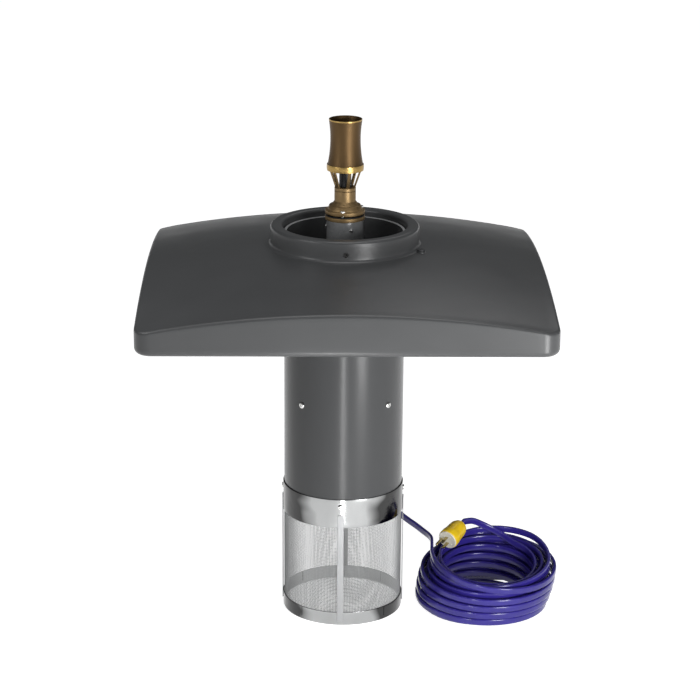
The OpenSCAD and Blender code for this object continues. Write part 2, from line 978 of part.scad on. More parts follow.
// Catmull-Rom point on a route, at segment i and share u
function route_point(p, i, u) =
  let (n = len(p) - 1, a = p[max(i - 1, 0)], b = p[i], c = p[min(i + 1, n)], d = p[min(i + 2, n)])
  0.5 * (2 * b + (c - a) * u + (2 * a - 5 * b + 4 * c - d) * u * u + (3 * b - a - 3 * c + d) * u * u * u);
function route(p, steps) =
  concat([for (i = [0:len(p) - 2], k = [0:steps - 1]) route_point(p, i, k / steps)], [p[len(p) - 1]]);

function heading(p, i) = unit(p[min(i + 1, len(p) - 1)] - p[max(i - 1, 0)]);

module swept_lead(path, section, up) {
  sides = len(section);
  n = len(path);
  points = [for (i = [0:n - 1])
    let (t = heading(path, i), s = unit(cross(t, up)), w = cross(s, t))
    for (q = section) path[i] + s * q[0] + w * q[1]];
  walls = [for (i = [0:n - 2], k = [0:sides - 1])
    let (a = i * sides + k, b = i * sides + (k + 1) % sides)
    each [[a, a + sides, b], [b, a + sides, b + sides]]];
  caps = concat(
    [for (k = [1:sides - 2]) [0, k, k + 1]],
    [for (k = [1:sides - 2]) [(n - 1) * sides, (n - 1) * sides + k + 1, (n - 1) * sides + k]]);
  polyhedron(points, concat(walls, caps), convexity = 10);
}

// Where the plug lies: its middle and the way it points
plug_at = [211, 26, 128];
plug_heading = 235;
plug_dip = 16;
plug_roll = 90;
plug_out = [cos(plug_dip) * cos(plug_heading), cos(plug_dip) * sin(plug_heading), -sin(plug_dip)];
face_t = 3;

// Route of the free stretch behind the strainer, from the strain relief towards the coil
lead_route = [[31, 163, 254], [38, 178, 232], [50, 184, 204], [67, 178, 174], [88, 160, 147],
  [108, 138, 127], [127, 114, 119], [142, 92, 116], [154, 73, 113], [164, 53, 112], [169, 33, 112]];
// Route from the coil's end over the inside of its crest towards the back of the plug
tail_route = [[306, 76, 104], [286, 80, 114], [266, 78, 125], [249, 71, 134]];
// Route of the motor's lead inside the tube: shares of the way from the motor to the tube's wall,
// and of the way up from the gland to the connector
motor_route_shares = [[0.73, 0], [0.55, 0.06], [0.43, 0.15], [0.41, 0.33], [0.41, 0.56], [0.41, 0.78],
  [0.4, 0.9], [0.34, 0.98]];

// Coil: a lead-in over the crest, then four layers from the outside in
coil_at = [270, -13];
coil_lean = [0.24, 0.08];
coil_mid = 52;
coil_barrel = 8;
coil_start = 175;
coil_end = 50;
loop_rings = 24;
z_low = lead_w / 2;
layer_pitch = 12.5;
outer_r = 126;
ease = 0.4;
hold = 0.15;
fan_share = 0.15;
coil_loops = 22;
coil_turns = coil_loops + (coil_end - coil_start) / 360;
wound = [0.5, 4.1, 5.88, 6];
inner_turns = coil_turns - wound[0] - wound[1] - wound[2] - wound[3];
crest_z = 108;
outer_top_z = 77;
outer_foot_z = 14.5;
second_top_z = 93;
third_top_z = 99;
inner_top_z = 82.5;
// Each leg: turns, radius, height at its start, height at its end
coil_legs = [
  [wound[0], outer_r, crest_z, outer_top_z],
  [wound[1], outer_r, outer_top_z, outer_foot_z],
  [wound[2], outer_r - layer_pitch, z_low, second_top_z],
  [wound[3], outer_r - 2 * layer_pitch, third_top_z, z_low],
  [inner_turns, outer_r - 3 * layer_pitch, z_low, inner_top_z]];

function turns_before(k) = k == 0 ? 0 : turns_before(k - 1) + coil_legs[k - 1][0];
function leg_at(t, k = 4) = k == 0 || t >= turns_before(k) ? k : leg_at(t, k - 1);

// Radius and level height at turn t
function coil_rz(t) =
  let (k = leg_at(t), leg = coil_legs[k], s = t - turns_before(k), wait = k < 2 ? 0 : hold)
  k == 0
    ? [leg[1], mix(leg[2], leg[3], smooth(s / leg[0]))]
    : [mix(coil_legs[k - 1][1], leg[1], smooth(s / ease)),
       s < wait
         ? mix(coil_legs[k - 1][3], leg[2], smooth(s / wait))
         : mix(leg[2], leg[3], (s - wait) / (leg[0] - wait))];

function coil_point(t) =
  let (
    a = coil_start + 360 * t,
    q = coil_rz(t),
    z = z_low + (q[1] - z_low) * (1 + fan_share * sin(a)),
    r = q[0] - coil_barrel * pow(q[1] / coil_mid - 1, 2))
  [coil_at[0] + coil_lean[0] * (z - coil_mid) + r * cos(a),
   coil_at[1] + coil_lean[1] * (z - coil_mid) + r * sin(a),
   z];

coil_rings = round(coil_turns * loop_rings);
coil_path = [for (i = [0:coil_rings]) coil_point(i * coil_turns / coil_rings)];
coil_first = coil_path[0];
coil_last = coil_path[coil_rings];
coil_in = unit(coil_path[1] - coil_first);
coil_out = unit(coil_last - coil_path[coil_rings - 1]);

// Least gap between two stretches of the coil that lie beside each other, whole turns apart
function side_gap(a, b, angle) =
  norm([
    max(0, abs((a[0] - b[0]) * cos(angle) + (a[1] - b[1]) * sin(angle)) - lead_t),
    max(0, abs(a[2] - b[2]) - lead_w)]);
function ring_gap(i) =
  min([for (j = [i + loop_rings:loop_rings:coil_rings])
    side_gap(coil_path[i], coil_path[j], coil_start + i * 360 * coil_turns / coil_rings)]);
coil_gap = min([for (i = [0:coil_rings - loop_rings]) ring_gap(i)]);
function total(v, i = 0) = i == len(v) ? 0 : v[i] + total(v, i + 1);
function path_length(p) = total([for (i = [1:len(p) - 1]) norm(p[i] - p[i - 1])]);

// Ends of the cords: each runs straight for a cord's width where it meets another piece
gland_out = [cos(gland_turn), sin(gland_turn), 0];
relief_len = 24;
relief_tip = tube_r + relief_len + slip;
lead_first = gland_out * relief_tip + [0, 0, gland_h];
motor_first = gland_out * (relief_tip - lead_w) + [0, 0, gland_h];
motor_last = gland_out * connector_tip + [0, 0, connector_h];
motor_route = [for (q = motor_route_shares)
  gland_out * mix(motor_r, tube_in_r, q[0]) + [0, 0, mix(gland_h, connector_h, q[1])]];
plug_back = plug_at - plug_out * plug_len / 2;

function run(from, from_way, middle, to, to_way, steps) =
  concat([from], route(concat([from + from_way * lead_w], middle, [to - to_way * lead_w]), steps), [to]);

lead_path = run(lead_first, gland_out, lead_route, coil_first, coil_in, 3);
tail_path = run(coil_last, coil_out, tail_route, plug_back, plug_out, 4);
motor_path = run(motor_first, -gland_out, motor_route, motor_last, -gland_out, 2);
round_section = [for (a = fan(8, 22.5)) (lead_t / 2 - slip) * [-sin(a), cos(a)]];

module motor_lead() {
  color("darkslateblue")
    swept_lead(motor_path, round_section, [-sin(gland_turn), cos(gland_turn), 0]);
}

module supply_lead() {
  color("darkslateblue")
    swept_lead(lead_path, flat_section(8), [0, 0, 1]);
}

module lead_tail() {
  color("darkslateblue")
    swept_lead(tail_path, flat_section(8), [0, 0, 1]);
}

module lead_coil() {
  echo(least_gap_of_coil = coil_gap);
  echo(coil_length = path_length(coil_path), lead = path_length(lead_path), tail = path_length(tail_path));
  color("darkslateblue")
    swept_lead(coil_path, flat_section(6), [0, 0, 1]);
}

// Gland in the tube's wall and the strain relief on it
module at_gland() {
  rotate([0, 0, gland_turn])
    translate([0, 0, gland_h])
      rotate([0, 90, 0])
        children();
}

module cord_gland() {
  color("black")
    difference() {
      at_gland() {
        translate([0, 0, tube_r - tube_wall])
          cylinder(r = gland_hex_r, h = tube_wall + gland_hex_t, $fn = 6);
        translate([0, 0, tube_in_r - gland_reach])
          cylinder(r = gland_thread_r, h = gland_reach + tube_wall);
      }
      difference() {
        ring(tube_r + slip / 2, tube_in_r - 2 * gland_reach, gland_h - 2 * gland_hex_r, 4 * gland_hex_r);
        at_gland()
          cylinder(r = gland_thread_r, h = tube_od);
      }
      at_gland()
        translate([-lead_w / 2 - slip, -lead_t / 2 - slip, 0])
          cube([lead_w + 2 * slip, lead_t + 2 * slip, tube_od]);
    }
}

module gland_nut() {
  nut_t = 5;
  nut_gap = 2;
  color("black")
    difference() {
      at_gland()
        translate([0, 0, tube_in_r - nut_t - nut_gap])
          cylinder(r = gland_hex_r, h = nut_t, $fn = 6);
      at_gland()
        cylinder(r = gland_thread_r + slip, h = tube_od);
    }
}

module strain_relief() {
  foot_r = 9.4;
  tip_r = 7.6;
  color("black")
    difference() {
      at_gland()
        translate([0, 0, tube_r + gland_hex_t + slip])
          cylinder(r1 = foot_r, r2 = tip_r, h = relief_len - gland_hex_t);
      at_gland()
        translate([-lead_w / 2 - slip, -lead_t / 2 - slip, 0])
          cube([lead_w + 2 * slip, lead_t + 2 * slip, tube_r + relief_len - over]);
    }
}

module lead_connector() {
  color("black")
    at_angles([gland_turn])
      translate([connector_foot + slip, 0, connector_h])
        rotate([0, 90, 0])
          cylinder(r = connector_r - slip, h = connector_tip - connector_foot - slip);
}

// Plug, drawn along its own axis from its back to its face
module at_plug() {
  translate(plug_at)
    rotate([0, plug_dip, plug_heading])
      translate([-plug_len / 2, 0, 0])
        rotate([plug_roll, 0, 0])
          rotate([0, 90, 0])
            children();
}

module plug_body() {
  back_share = 0.28;
  back_r_share = 0.72;
  grip_share = 0.6;
  color("gold")
    at_plug()
      rotate_extrude()
        polygon([
          [0, 0], [plug_r * back_r_share, 0], [plug_r * back_r_share, plug_len * back_share / 2],
          [plug_r, plug_len * back_share], [plug_r, plug_len * grip_share],
          [plug_r, plug_len - face_t], [0, plug_len - face_t]]);
}

module plug_face() {
  face_share = 0.94;
  color("lightgray")
    at_plug()
      translate([0, 0, plug_len - face_t])
        cylinder(r = plug_r * face_share, h = face_t);
}

blade_len = 17;
blade_w = 6.3;
blade_t = 1.5;
blade_space = 12.7;
pin_r = 2.4;
pin_len = 20;
pin_at_share = 0.94;

module plug_blades() {
  color("goldenrod")
    at_plug()
      for (y = [-1, 1])
        translate([-blade_w / 2, y * blade_space / 2 - blade_t / 2, plug_len])
          cube([blade_w, blade_t, blade_len]);
}

module plug_pin() {
  color("goldenrod")
    at_plug()
      translate([-blade_space * pin_at_share, 0, plug_len])
        cylinder(r = pin_r, h = pin_len);
}

shroud_tube();
float_shell();
foam_core();
fill_plug();
collar_screws();
strainer_band();
strainer_mesh();
strainer_floor();
strainer_straps();
base_ring();
band_screws();
discharge_pipe();
nozzle_socket();
socket_screws();
flange_gasket();
clamp_ring();
clamp_bolts();
ball_seat();
nozzle_ball();
nozzle_legs();
jet_tube();
nozzle_sleeve();
lower_spider();
spider_screws();
upper_spider();
discharge_head();
top_bearing();
pump_shell();
diffusers();
impellers();
pump_shaft();
shaft_coupling();
intake_bracket();
intake_screen();
motor_shell();
motor_top_cap();
motor_bottom_cap();
stator_core();
stator_windings();
rotor_core();
motor_shaft();
upper_bearing();
lower_bearing();
thrust_bearing();
shaft_seal();
motor_lead();
lead_connector();
cord_gland();
gland_nut();
strain_relief();
supply_lead();
lead_coil();
lead_tail();
plug_body();
plug_face();
plug_blades();
plug_pin();
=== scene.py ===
import math

import bmesh
import bpy
from mathutils import Matrix, Vector


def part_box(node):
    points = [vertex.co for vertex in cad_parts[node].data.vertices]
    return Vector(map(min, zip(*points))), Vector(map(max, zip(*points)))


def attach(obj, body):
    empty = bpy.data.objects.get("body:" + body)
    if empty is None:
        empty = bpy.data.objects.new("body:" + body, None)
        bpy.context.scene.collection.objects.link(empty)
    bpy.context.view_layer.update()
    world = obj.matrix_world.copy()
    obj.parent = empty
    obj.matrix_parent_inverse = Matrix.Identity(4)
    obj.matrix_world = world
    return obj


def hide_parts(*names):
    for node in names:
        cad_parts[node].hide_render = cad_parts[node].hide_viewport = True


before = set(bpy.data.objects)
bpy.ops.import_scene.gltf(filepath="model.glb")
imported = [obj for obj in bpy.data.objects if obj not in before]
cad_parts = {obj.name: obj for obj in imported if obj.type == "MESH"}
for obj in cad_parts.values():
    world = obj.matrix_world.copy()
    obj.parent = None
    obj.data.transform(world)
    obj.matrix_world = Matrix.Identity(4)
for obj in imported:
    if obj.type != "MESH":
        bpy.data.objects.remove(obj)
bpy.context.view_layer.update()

MM = 0.001
TAU = 2 * math.pi

# ---- camera
CAM_DISTANCE = 4.0862
CAM_DIP = math.radians(17.54)
CAM_TURN = math.radians(-0.94)
CAM_ROLL = math.radians(0.41)
CAM_AIM_Z = 0.4981
FOCAL_PX = 2233.6
SHIFT_PX = 5.99
IMAGE_PX = 700
SENSOR = 36.0
CLIP_END = 1000


def add_object(name, data):
    obj = bpy.data.objects.new(name, data)
    bpy.context.scene.collection.objects.link(obj)
    return obj


def make_camera():
    back = Vector((
        math.sin(CAM_TURN) * math.cos(CAM_DIP),
        -math.cos(CAM_TURN) * math.cos(CAM_DIP),
        math.sin(CAM_DIP),
    ))
    right = (-back).cross(Vector((0, 0, 1))).normalized()
    up = right.cross(-back)
    c, s = math.cos(CAM_ROLL), math.sin(CAM_ROLL)
    side = right * c + up * s
    rise = up * c - right * s
    place = Vector((0, 0, CAM_AIM_Z)) + back * CAM_DISTANCE
    data = bpy.data.cameras.new("view_camera")
    data.sensor_fit = "HORIZONTAL"
    data.sensor_width = SENSOR
    data.lens = FOCAL_PX * SENSOR / IMAGE_PX
    data.shift_x = SHIFT_PX / IMAGE_PX
    data.clip_end = CLIP_END
    obj = add_object("view_camera", data)
    obj.matrix_world = Matrix((
        (side.x, rise.x, back.x, place.x),
        (side.y, rise.y, back.y, place.y),
        (side.z, rise.z, back.z, place.z),
        (0, 0, 0, 1),
    ))
    bpy.context.scene.camera = obj


make_camera()


# ---- materials
def srgb(r, g, b):
    def line(c):
        c /= 255
        return c / 12.92 if c < 0.04045 else ((c + 0.055) / 1.055) ** 2.4
    return (line(r), line(g), line(b), 1)


def shade(color, k):
    return tuple(min(1, c * k) for c in color[:3]) + (1,)


def math_node(nodes, links, operation, *values):
    node = nodes.new("ShaderNodeMath")
    node.operation = operation
    for k, value in enumerate(values):
        if isinstance(value, (int, float)):
            node.inputs[k].default_value = value
        else:
            links.new(value, node.inputs[k])
    return node.outputs[0]


def map_range(nodes, links, value, start, end, low, high):
    node = nodes.new("ShaderNodeMapRange")
    for key, number in (("From Min", start), ("From Max", end), ("To Min", low), ("To Max", high)):
        node.inputs[key].default_value = number
    links.new(value, node.inputs["Value"])
    return node.outputs["Result"]


def color_mix(nodes, links, factor, a, b):
    """Blends two colours, each given as a value or as a socket."""
    node = nodes.new("ShaderNodeMix")
    node.data_type = "RGBA"
    for key, color in (("A", a), ("B", b)):
        if isinstance(color, tuple):
            node.inputs[key].default_value = color
        else:
            links.new(color, node.inputs[key])
    links.new(factor, node.inputs["Factor"])
    return node.outputs["Result"]


MATS = {}
EVEN = (1, 1, 1)
TURNED = (1, 1, 60)
COAT_ROUGH = 0.08
LEAST_ROUGH = 0.02
NOISE_LOW, NOISE_HIGH = 0.3, 0.7  # nearly all of a noise's values lie between these
# Painted reflections round a metal's axis: pale bands between darker uprights, fixed to the object
REFLECTION_SPOTS = 16
REFLECTION_DRIFT = 1.4  # radians of the painted reflections' wave over which their edges wander
REFLECTION_EDGE = 0.55  # height of that wave at which the painted reflection is at its brightest


def finish(name, color, rough, metal=0.0, tone=0.1, spots=30, stretch=EVEN, rough_vary=0.06,
           bump=0.0, bump_spots=600, bump_stretch=EVEN, wave=0.0, wave_spots=20, coat=0.0,
           tint=None, spec=0.5, painted_reflections=None):
    """A procedural finish: patchy colour and gloss, a fine grain and a slow waviness.

    Painted reflections are (count, turn, darker colour): pale bands of painted reflection between
    darker uprights round the axis.
    """
    mat = bpy.data.materials.new(name)
    mat.use_nodes = True
    nodes, links = mat.node_tree.nodes, mat.node_tree.links
    bsdf = nodes["Principled BSDF"]
    bsdf.inputs["Metallic"].default_value = metal
    bsdf.inputs["Specular IOR Level"].default_value = spec
    bsdf.inputs["Coat Weight"].default_value = coat
    bsdf.inputs["Coat Roughness"].default_value = COAT_ROUGH
    place = nodes.new("ShaderNodeTexCoord")

    def noise(scale, stretched, detail):
        move = nodes.new("ShaderNodeMapping")
        move.inputs["Scale"].default_value = stretched
        links.new(place.outputs["Object"], move.inputs["Vector"])
        tex = nodes.new("ShaderNodeTexNoise")
        tex.inputs["Scale"].default_value = scale
        tex.inputs["Detail"].default_value = detail
        links.new(move.outputs["Vector"], tex.inputs["Vector"])
        return tex.outputs["Fac"]

    patches = noise(spots, stretch, 5)
    light = tint or shade(color, 1 + tone)
    tone_and_reflection = color_mix(nodes, links, patches, shade(color, 1 - tone), light)
    # Painted reflection: paler and darker uprights set by the angle round the axis
    if painted_reflections:
        count, turn, dark = painted_reflections
        split = nodes.new("ShaderNodeSeparateXYZ")
        links.new(place.outputs["Object"], split.inputs[0])
        value = math_node(nodes, links, "ARCTAN2", split.outputs["Y"], split.outputs["X"])
        value = math_node(nodes, links, "MULTIPLY_ADD", value, count, -count * math.radians(turn))
        wander = noise(REFLECTION_SPOTS, (1, 1, 1.5), 1)
        drift = math_node(nodes, links, "MULTIPLY_ADD", wander, REFLECTION_DRIFT, -REFLECTION_DRIFT / 2)
        value = math_node(nodes, links, "ADD", value, drift)
        value = math_node(nodes, links, "COSINE", value)
        value = map_range(nodes, links, value, 0, REFLECTION_EDGE, 0, 1)
        tone_and_reflection = color_mix(nodes, links, value, dark, tone_and_reflection)
    links.new(tone_and_reflection, bsdf.inputs["Base Color"])
    gloss = map_range(nodes, links, patches, NOISE_LOW, NOISE_HIGH,
                      max(LEAST_ROUGH, rough - rough_vary), rough + rough_vary)
    links.new(gloss, bsdf.inputs["Roughness"])
    last = None
    for height, scale, stretched in ((wave, wave_spots, EVEN), (bump, bump_spots, bump_stretch)):
        if height:
            tex = noise(scale, stretched, 3)
            push = nodes.new("ShaderNodeBump")
            push.inputs["Strength"].default_value = 1.0
            push.inputs["Distance"].default_value = height * MM
            links.new(tex, push.inputs["Height"])
            if last:
                links.new(last.outputs["Normal"], push.inputs["Normal"])
            last = push
    if last:
        links.new(last.outputs["Normal"], bsdf.inputs["Normal"])
    MATS[name] = mat


finish("pvc", srgb(70, 71, 72), 0.24, tone=0.06, spots=5, stretch=(3, 3, 1), rough_vary=0.03,
       wave=0.25, wave_spots=9, bump=0.02, bump_spots=160, bump_stretch=(5, 5, 0.4), spec=0.32)
finish("float", srgb(74, 75, 76), 0.33, spots=9, rough_vary=0.04, wave=0.6, wave_spots=8,
       bump=0.05, bump_spots=900)
finish("foam", srgb(232, 224, 196), 0.9, tone=0.08, spots=300, bump=0.6, bump_spots=500)
finish("stopper", srgb(60, 61, 63), 0.45, tone=0.08, spots=90, bump=0.05, bump_spots=700)
# The band's pale and darker uprights are painted reflections, brightest facing front and back.
finish("steel_band", srgb(166, 167, 167), 0.12, metal=1.0, tone=0.25, spots=14,
       stretch=(1, 1, 0.4), rough_vary=0.03, wave=1.4, wave_spots=16, bump=0.012,
       bump_spots=500, bump_stretch=(1, 1, 12), painted_reflections=(2, -93, srgb(66, 66, 66)))
finish("mesh", srgb(188, 189, 189), 0.36, metal=0.35, tone=0.08, spots=40, bump=0.02,
       bump_spots=900)
finish("screw", srgb(222, 222, 220), 0.18, metal=1.0, tone=0.05, spots=300, bump=0.02,
       bump_spots=900)
finish("bronze", srgb(140, 116, 80), 0.46, metal=0.75, tone=0.22, spots=60, rough_vary=0.08,
       stretch=(2, 2, 0.5), bump=0.05, bump_spots=420, bump_stretch=(3, 3, 0.5))
finish("bronze_bright", srgb(166, 138, 84), 0.3, metal=1.0, tone=0.3, spots=120,
       rough_vary=0.08, bump=0.25, bump_spots=260)
finish("rubber", srgb(20, 20, 20), 0.6, tone=0.2, spots=200, bump=0.05, bump_spots=900)
finish("black_plastic", srgb(30, 30, 32), 0.4, tone=0.15, spots=150, bump=0.04, bump_spots=900)
finish("seat", srgb(226, 224, 214), 0.4, tone=0.04, spots=120, bump=0.03, bump_spots=700)
finish("casting", srgb(92, 98, 104), 0.5, tone=0.12, spots=90, bump=0.3, bump_spots=350)
finish("stainless", srgb(186, 187, 188), 0.28, metal=1.0, tone=0.06, spots=60, stretch=TURNED,
       bump=0.01, bump_spots=300, bump_stretch=TURNED)
finish("stage_plastic", srgb(196, 184, 152), 0.45, tone=0.06, spots=90, bump=0.03, bump_spots=700)
finish("laminated", srgb(110, 110, 114), 0.45, metal=0.8, tone=0.25, spots=40, stretch=TURNED,
       bump=0.1, bump_spots=60, bump_stretch=TURNED)
finish("copper", srgb(168, 98, 58), 0.35, metal=0.9, tone=0.3, spots=50, stretch=TURNED,
       bump=0.3, bump_spots=50, bump_stretch=TURNED)
finish("shaft", srgb(196, 196, 196), 0.16, metal=1.0, tone=0.05, spots=60, stretch=TURNED,
       bump=0.01, bump_spots=200, bump_stretch=TURNED)
finish("lead", srgb(47, 38, 132), 0.22, tone=0.22, spots=26, rough_vary=0.05, wave=0.5,
       wave_spots=26, bump=0.03, bump_spots=420, tint=srgb(58, 48, 150), coat=0.1, spec=0.4)
finish("plug", srgb(244, 204, 30), 0.35, tone=0.06, spots=80, bump=0.03, bump_spots=800, coat=0.15)
finish("plug_front", srgb(222, 219, 206), 0.42, tone=0.06, spots=140, bump=0.04, bump_spots=700)
finish("contact", srgb(196, 180, 130), 0.25, metal=1.0, tone=0.08, spots=200, bump=0.02,
       bump_spots=500)
# Darker than the bronze, to hold down the key lamp's highlight on the sleeve: painted shade.
finish("sleeve_bronze_shaded", srgb(96, 75, 48), 0.48, metal=0.85, tone=0.2, spots=60,
       stretch=(2, 2, 0.5), bump=0.04, bump_spots=420, bump_stretch=(3, 3, 0.5))
finish("floor_wire", srgb(218, 219, 219), 0.4, metal=0.2, tone=0.06, spots=40, bump=0.02,
       bump_spots=900)
# Paler than the tube's PVC: painted light, so the pipe inside the shaded tube shows lit.
finish("riser", srgb(126, 127, 128), 0.28, tone=0.06, spots=12, bump=0.02, bump_spots=160)
# Collar screw heads painted near black: painted shade of the recess they sit in.
finish("screw_painted_shade", srgb(72, 72, 72), 0.3, metal=0.9, spots=300, bump=0.02, bump_spots=900)
finish("strap", srgb(168, 169, 170), 0.4, metal=0.4, tone=0.06, spots=40, stretch=(1, 1, 0.2),
       bump=0.01, bump_spots=300)
finish("pvc_cut", srgb(150, 151, 152), 0.5, tone=0.08, spots=200, bump=0.1, bump_spots=500)

# Which of the frame's carried-over solids take each finish
CARRIED = {
    "foam": ["foam_core"],
    # collar screws take the painted shade of their recess
    "screw_painted_shade": ["collar_screws"],
    "seat": ["ball_seat"],
    "casting": ["lower_spider", "upper_spider", "intake_bracket", "motor_top_cap",
                "motor_bottom_cap"],
    "stage_plastic": ["discharge_head", "diffusers", "impellers"],
    "rubber": ["top_bearing", "shaft_seal"],
    "stainless": ["pump_shell", "shaft_coupling", "intake_screen", "motor_shell"],
    "shaft": ["pump_shaft", "motor_shaft"],
    "laminated": ["stator_core", "rotor_core"],
    "copper": ["stator_windings"],
    "black_plastic": ["upper_bearing", "lower_bearing", "thrust_bearing", "lead_connector",
                      "cord_gland", "gland_nut"],
}

# ---- mesh helpers, in mm
SHARP = 32  # degrees: an edge that turns further stays crisp
BEVEL_SHARP = 40
WELD = 1e-7  # metres
ON_AXIS = 1e-6


def soften(mesh, angle):
    mesh.polygons.foreach_set("use_smooth", [True] * len(mesh.polygons))
    mesh.set_sharp_from_angle(angle=math.radians(angle))


def solid(name, verts, faces, slots, marks=None, angle=SHARP):
    """A piece from points in mm, welded, with its faces turned outwards."""
    mesh = bpy.data.meshes.new(name)
    mesh.from_pydata([tuple(c * MM for c in v) for v in verts], [], faces)
    for slot in slots:
        mesh.materials.append(MATS[slot])
    if marks:
        mesh.polygons.foreach_set("material_index", marks)
    bm = bmesh.new()
    bm.from_mesh(mesh)
    bmesh.ops.remove_doubles(bm, verts=bm.verts, dist=WELD)
    bmesh.ops.recalc_face_normals(bm, faces=bm.faces)
    bm.to_mesh(mesh)
    bm.free()
    soften(mesh, angle)
    return add_object(name, mesh)


def join(low, high, n):
    """The faces between a ring of n points numbered from low and one numbered from high."""
    return [(low + i, low + (i + 1) % n, high + (i + 1) % n, high + i) for i in range(n)]


def lathe(name, profile, slots, n=160, angle=SHARP, mark=None):
    """A solid turned about Z from a closed outline of (radius, height) in mm."""
    verts, faces, marks, rows = [], [], [], []
    for r, z in profile:
        start = len(verts)
        if r < ON_AXIS:
            rows.append([start])
            verts.append((0, 0, z))
        else:
            rows.append(list(range(start, start + n)))
            verts += [(r * math.cos(TAU * i / n), r * math.sin(TAU * i / n), z) for i in range(n)]
    for k in range(len(profile)):
        a, b = rows[k], rows[(k + 1) % len(rows)]
        if len(a) == 1 and len(b) == 1:
            continue
        for i in range(n):
            j = (i + 1) % n
            if len(a) == 1:
                faces.append((a[0], b[j], b[i]))
            elif len(b) == 1:
                faces.append((a[i], a[j], b[0]))
            else:
                faces.append((a[i], a[j], b[j], b[i]))
            marks.append(mark(k) if mark else 0)
    return solid(name, verts, faces, slots, marks, angle)


def rounded(points, steps=5):
    """A closed outline with each corner (x, y, radius) rounded."""
    out = []
    n = len(points)
    for i, (x, y, rad) in enumerate(points):
        here = Vector((x, y))
        if rad <= 0:
            out.append((x, y))
            continue
        a = (Vector(points[i - 1][:2]) - here).normalized()
        b = (Vector(points[(i + 1) % n][:2]) - here).normalized()
        half = a.angle(b) / 2
        reach = rad / math.tan(half)
        middle = here + (a + b).normalized() * (rad / math.sin(half))
        start, end = here + a * reach - middle, here + b * reach - middle
        turn = start.angle_signed(end)
        for k in range(steps + 1):
            t = -turn * k / steps
            out.append((
                middle.x + start.x * math.cos(t) - start.y * math.sin(t),
                middle.y + start.x * math.sin(t) + start.y * math.cos(t),
            ))
    return out


def rod(name, r, z0, z1, slot):
    return lathe(name, [(0, z0), (r, z0), (r, z1), (0, z1)], [slot], 24)


def drop(obj):
    bpy.data.objects.remove(obj, do_unlink=True)


def gather(name, parts, slot):
    """One piece made of (object, matrix) copies, in place of those objects."""
    bm = bmesh.new()
    for obj, matrix in parts:
        start = len(bm.verts)
        bm.from_mesh(obj.data)
        bm.verts.ensure_lookup_table()
        bmesh.ops.transform(bm, matrix=matrix, verts=bm.verts[start:])
    mesh = bpy.data.meshes.new(name)
    bm.to_mesh(mesh)
    bm.free()
    mesh.materials.append(MATS[slot])
    for obj in dict.fromkeys(obj for obj, matrix in parts):
        drop(obj)
    return add_object(name, mesh)


def combine(obj, others, operation="DIFFERENCE", angle=SHARP):
    """Cuts the others out of obj, or adds them to it, and removes them."""
    for other in others:
        mod = obj.modifiers.new("cut", "BOOLEAN")
        mod.operation = operation
        mod.solver = "EXACT"
        mod.object = other
    bpy.context.view_layer.update()
    graph = bpy.context.evaluated_depsgraph_get()
    mesh = bpy.data.meshes.new_from_object(obj.evaluated_get(graph))
    obj.modifiers.clear()
    obj.data = mesh
    for other in others:
        drop(other)
    soften(mesh, angle)
    return obj


def refinish(obj, slot):
    """Leaves a piece with one finish after a cut."""
    obj.data.materials.clear()
    obj.data.materials.append(MATS[slot])
    return obj


def block(name, x0, x1, y0, y1, z0, z1, slot, bevel=0.0):
    verts = [(x, y, z) for x in (x0, x1) for y in (y0, y1) for z in (z0, z1)]
    faces = [(0, 1, 3, 2), (4, 6, 7, 5), (0, 4, 5, 1), (2, 3, 7, 6), (0, 2, 6, 4), (1, 5, 7, 3)]
    obj = solid(name, verts, faces, [slot])
    if bevel:
        bm = bmesh.new()
        bm.from_mesh(obj.data)
        bmesh.ops.bevel(bm, geom=list(bm.edges), offset=bevel * MM, segments=3, affect="EDGES",
                        profile=0.5)
        bm.to_mesh(obj.data)
        bm.free()
        soften(obj.data, BEVEL_SHARP)
    return obj


def dress(obj, body, slot, *nodes):
    """The piece rides on a body and stands for CAD nodes. Its slot is not used."""
    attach(obj, body)
    if nodes:
        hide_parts(*nodes)
    return obj


def turned(angle, axis="Z"):
    return Matrix.Rotation(angle, 4, axis)


def moved(x, y, z):
    return Matrix.Translation((x * MM, y * MM, z * MM))


def put(obj, matrix):
    obj.data.transform(matrix)
    return obj


def outward(angle, r, z):
    """A placement whose own Z points away from the axis."""
    return turned(math.radians(angle)) @ moved(r, 0, z) @ turned(math.pi / 2, "Y")


def span(node):
    low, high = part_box(node)
    return low / MM, high / MM


def heights(node):
    low, high = span(node)
    return low.z, high.z


def radius(node):
    return span(node)[1].x


# ---- supply lead and coil
LEAD_W = 12.3
LEAD_T = 6.2
SECTION_SIDES = 16
SIDE_POWER, END_POWER = 0.55, 0.5  # how square the lead's section is
LEAD_STEPS, TAIL_STEPS = 4, 5
FRONT = -90
STRAINER_TURN = -3
TUBE_R = radius("shroud_tube")
TUBE_FOOT, TUBE_TOP = heights("shroud_tube")
TUBE_WALL, PIPE_WALL = 5, 3
TUBE_IN_R = TUBE_R - TUBE_WALL
GLAND_TURN = math.radians(80)
GLAND_OUT = Vector((math.cos(GLAND_TURN), math.sin(GLAND_TURN), 0))
GLAND_H = 263
RELIEF_FOOT = TUBE_R + 6.2
RELIEF_LEN = 18
RELIEF_TIP = RELIEF_FOOT + RELIEF_LEN
LEAD_ROUTE = [(31, 163, 254), (38, 178, 232), (50, 184, 204), (67, 178, 174), (88, 160, 147),
              (108, 138, 127), (127, 114, 119), (142, 92, 116), (154, 73, 113), (164, 53, 112),
              (169, 33, 112)]
TAIL_ROUTE = [(306, 76, 104), (286, 80, 114), (266, 78, 125), (249, 71, 134)]
MOTOR_LEAD_R = 2.9
MOTOR_R, CONNECTOR_R = 48, 58
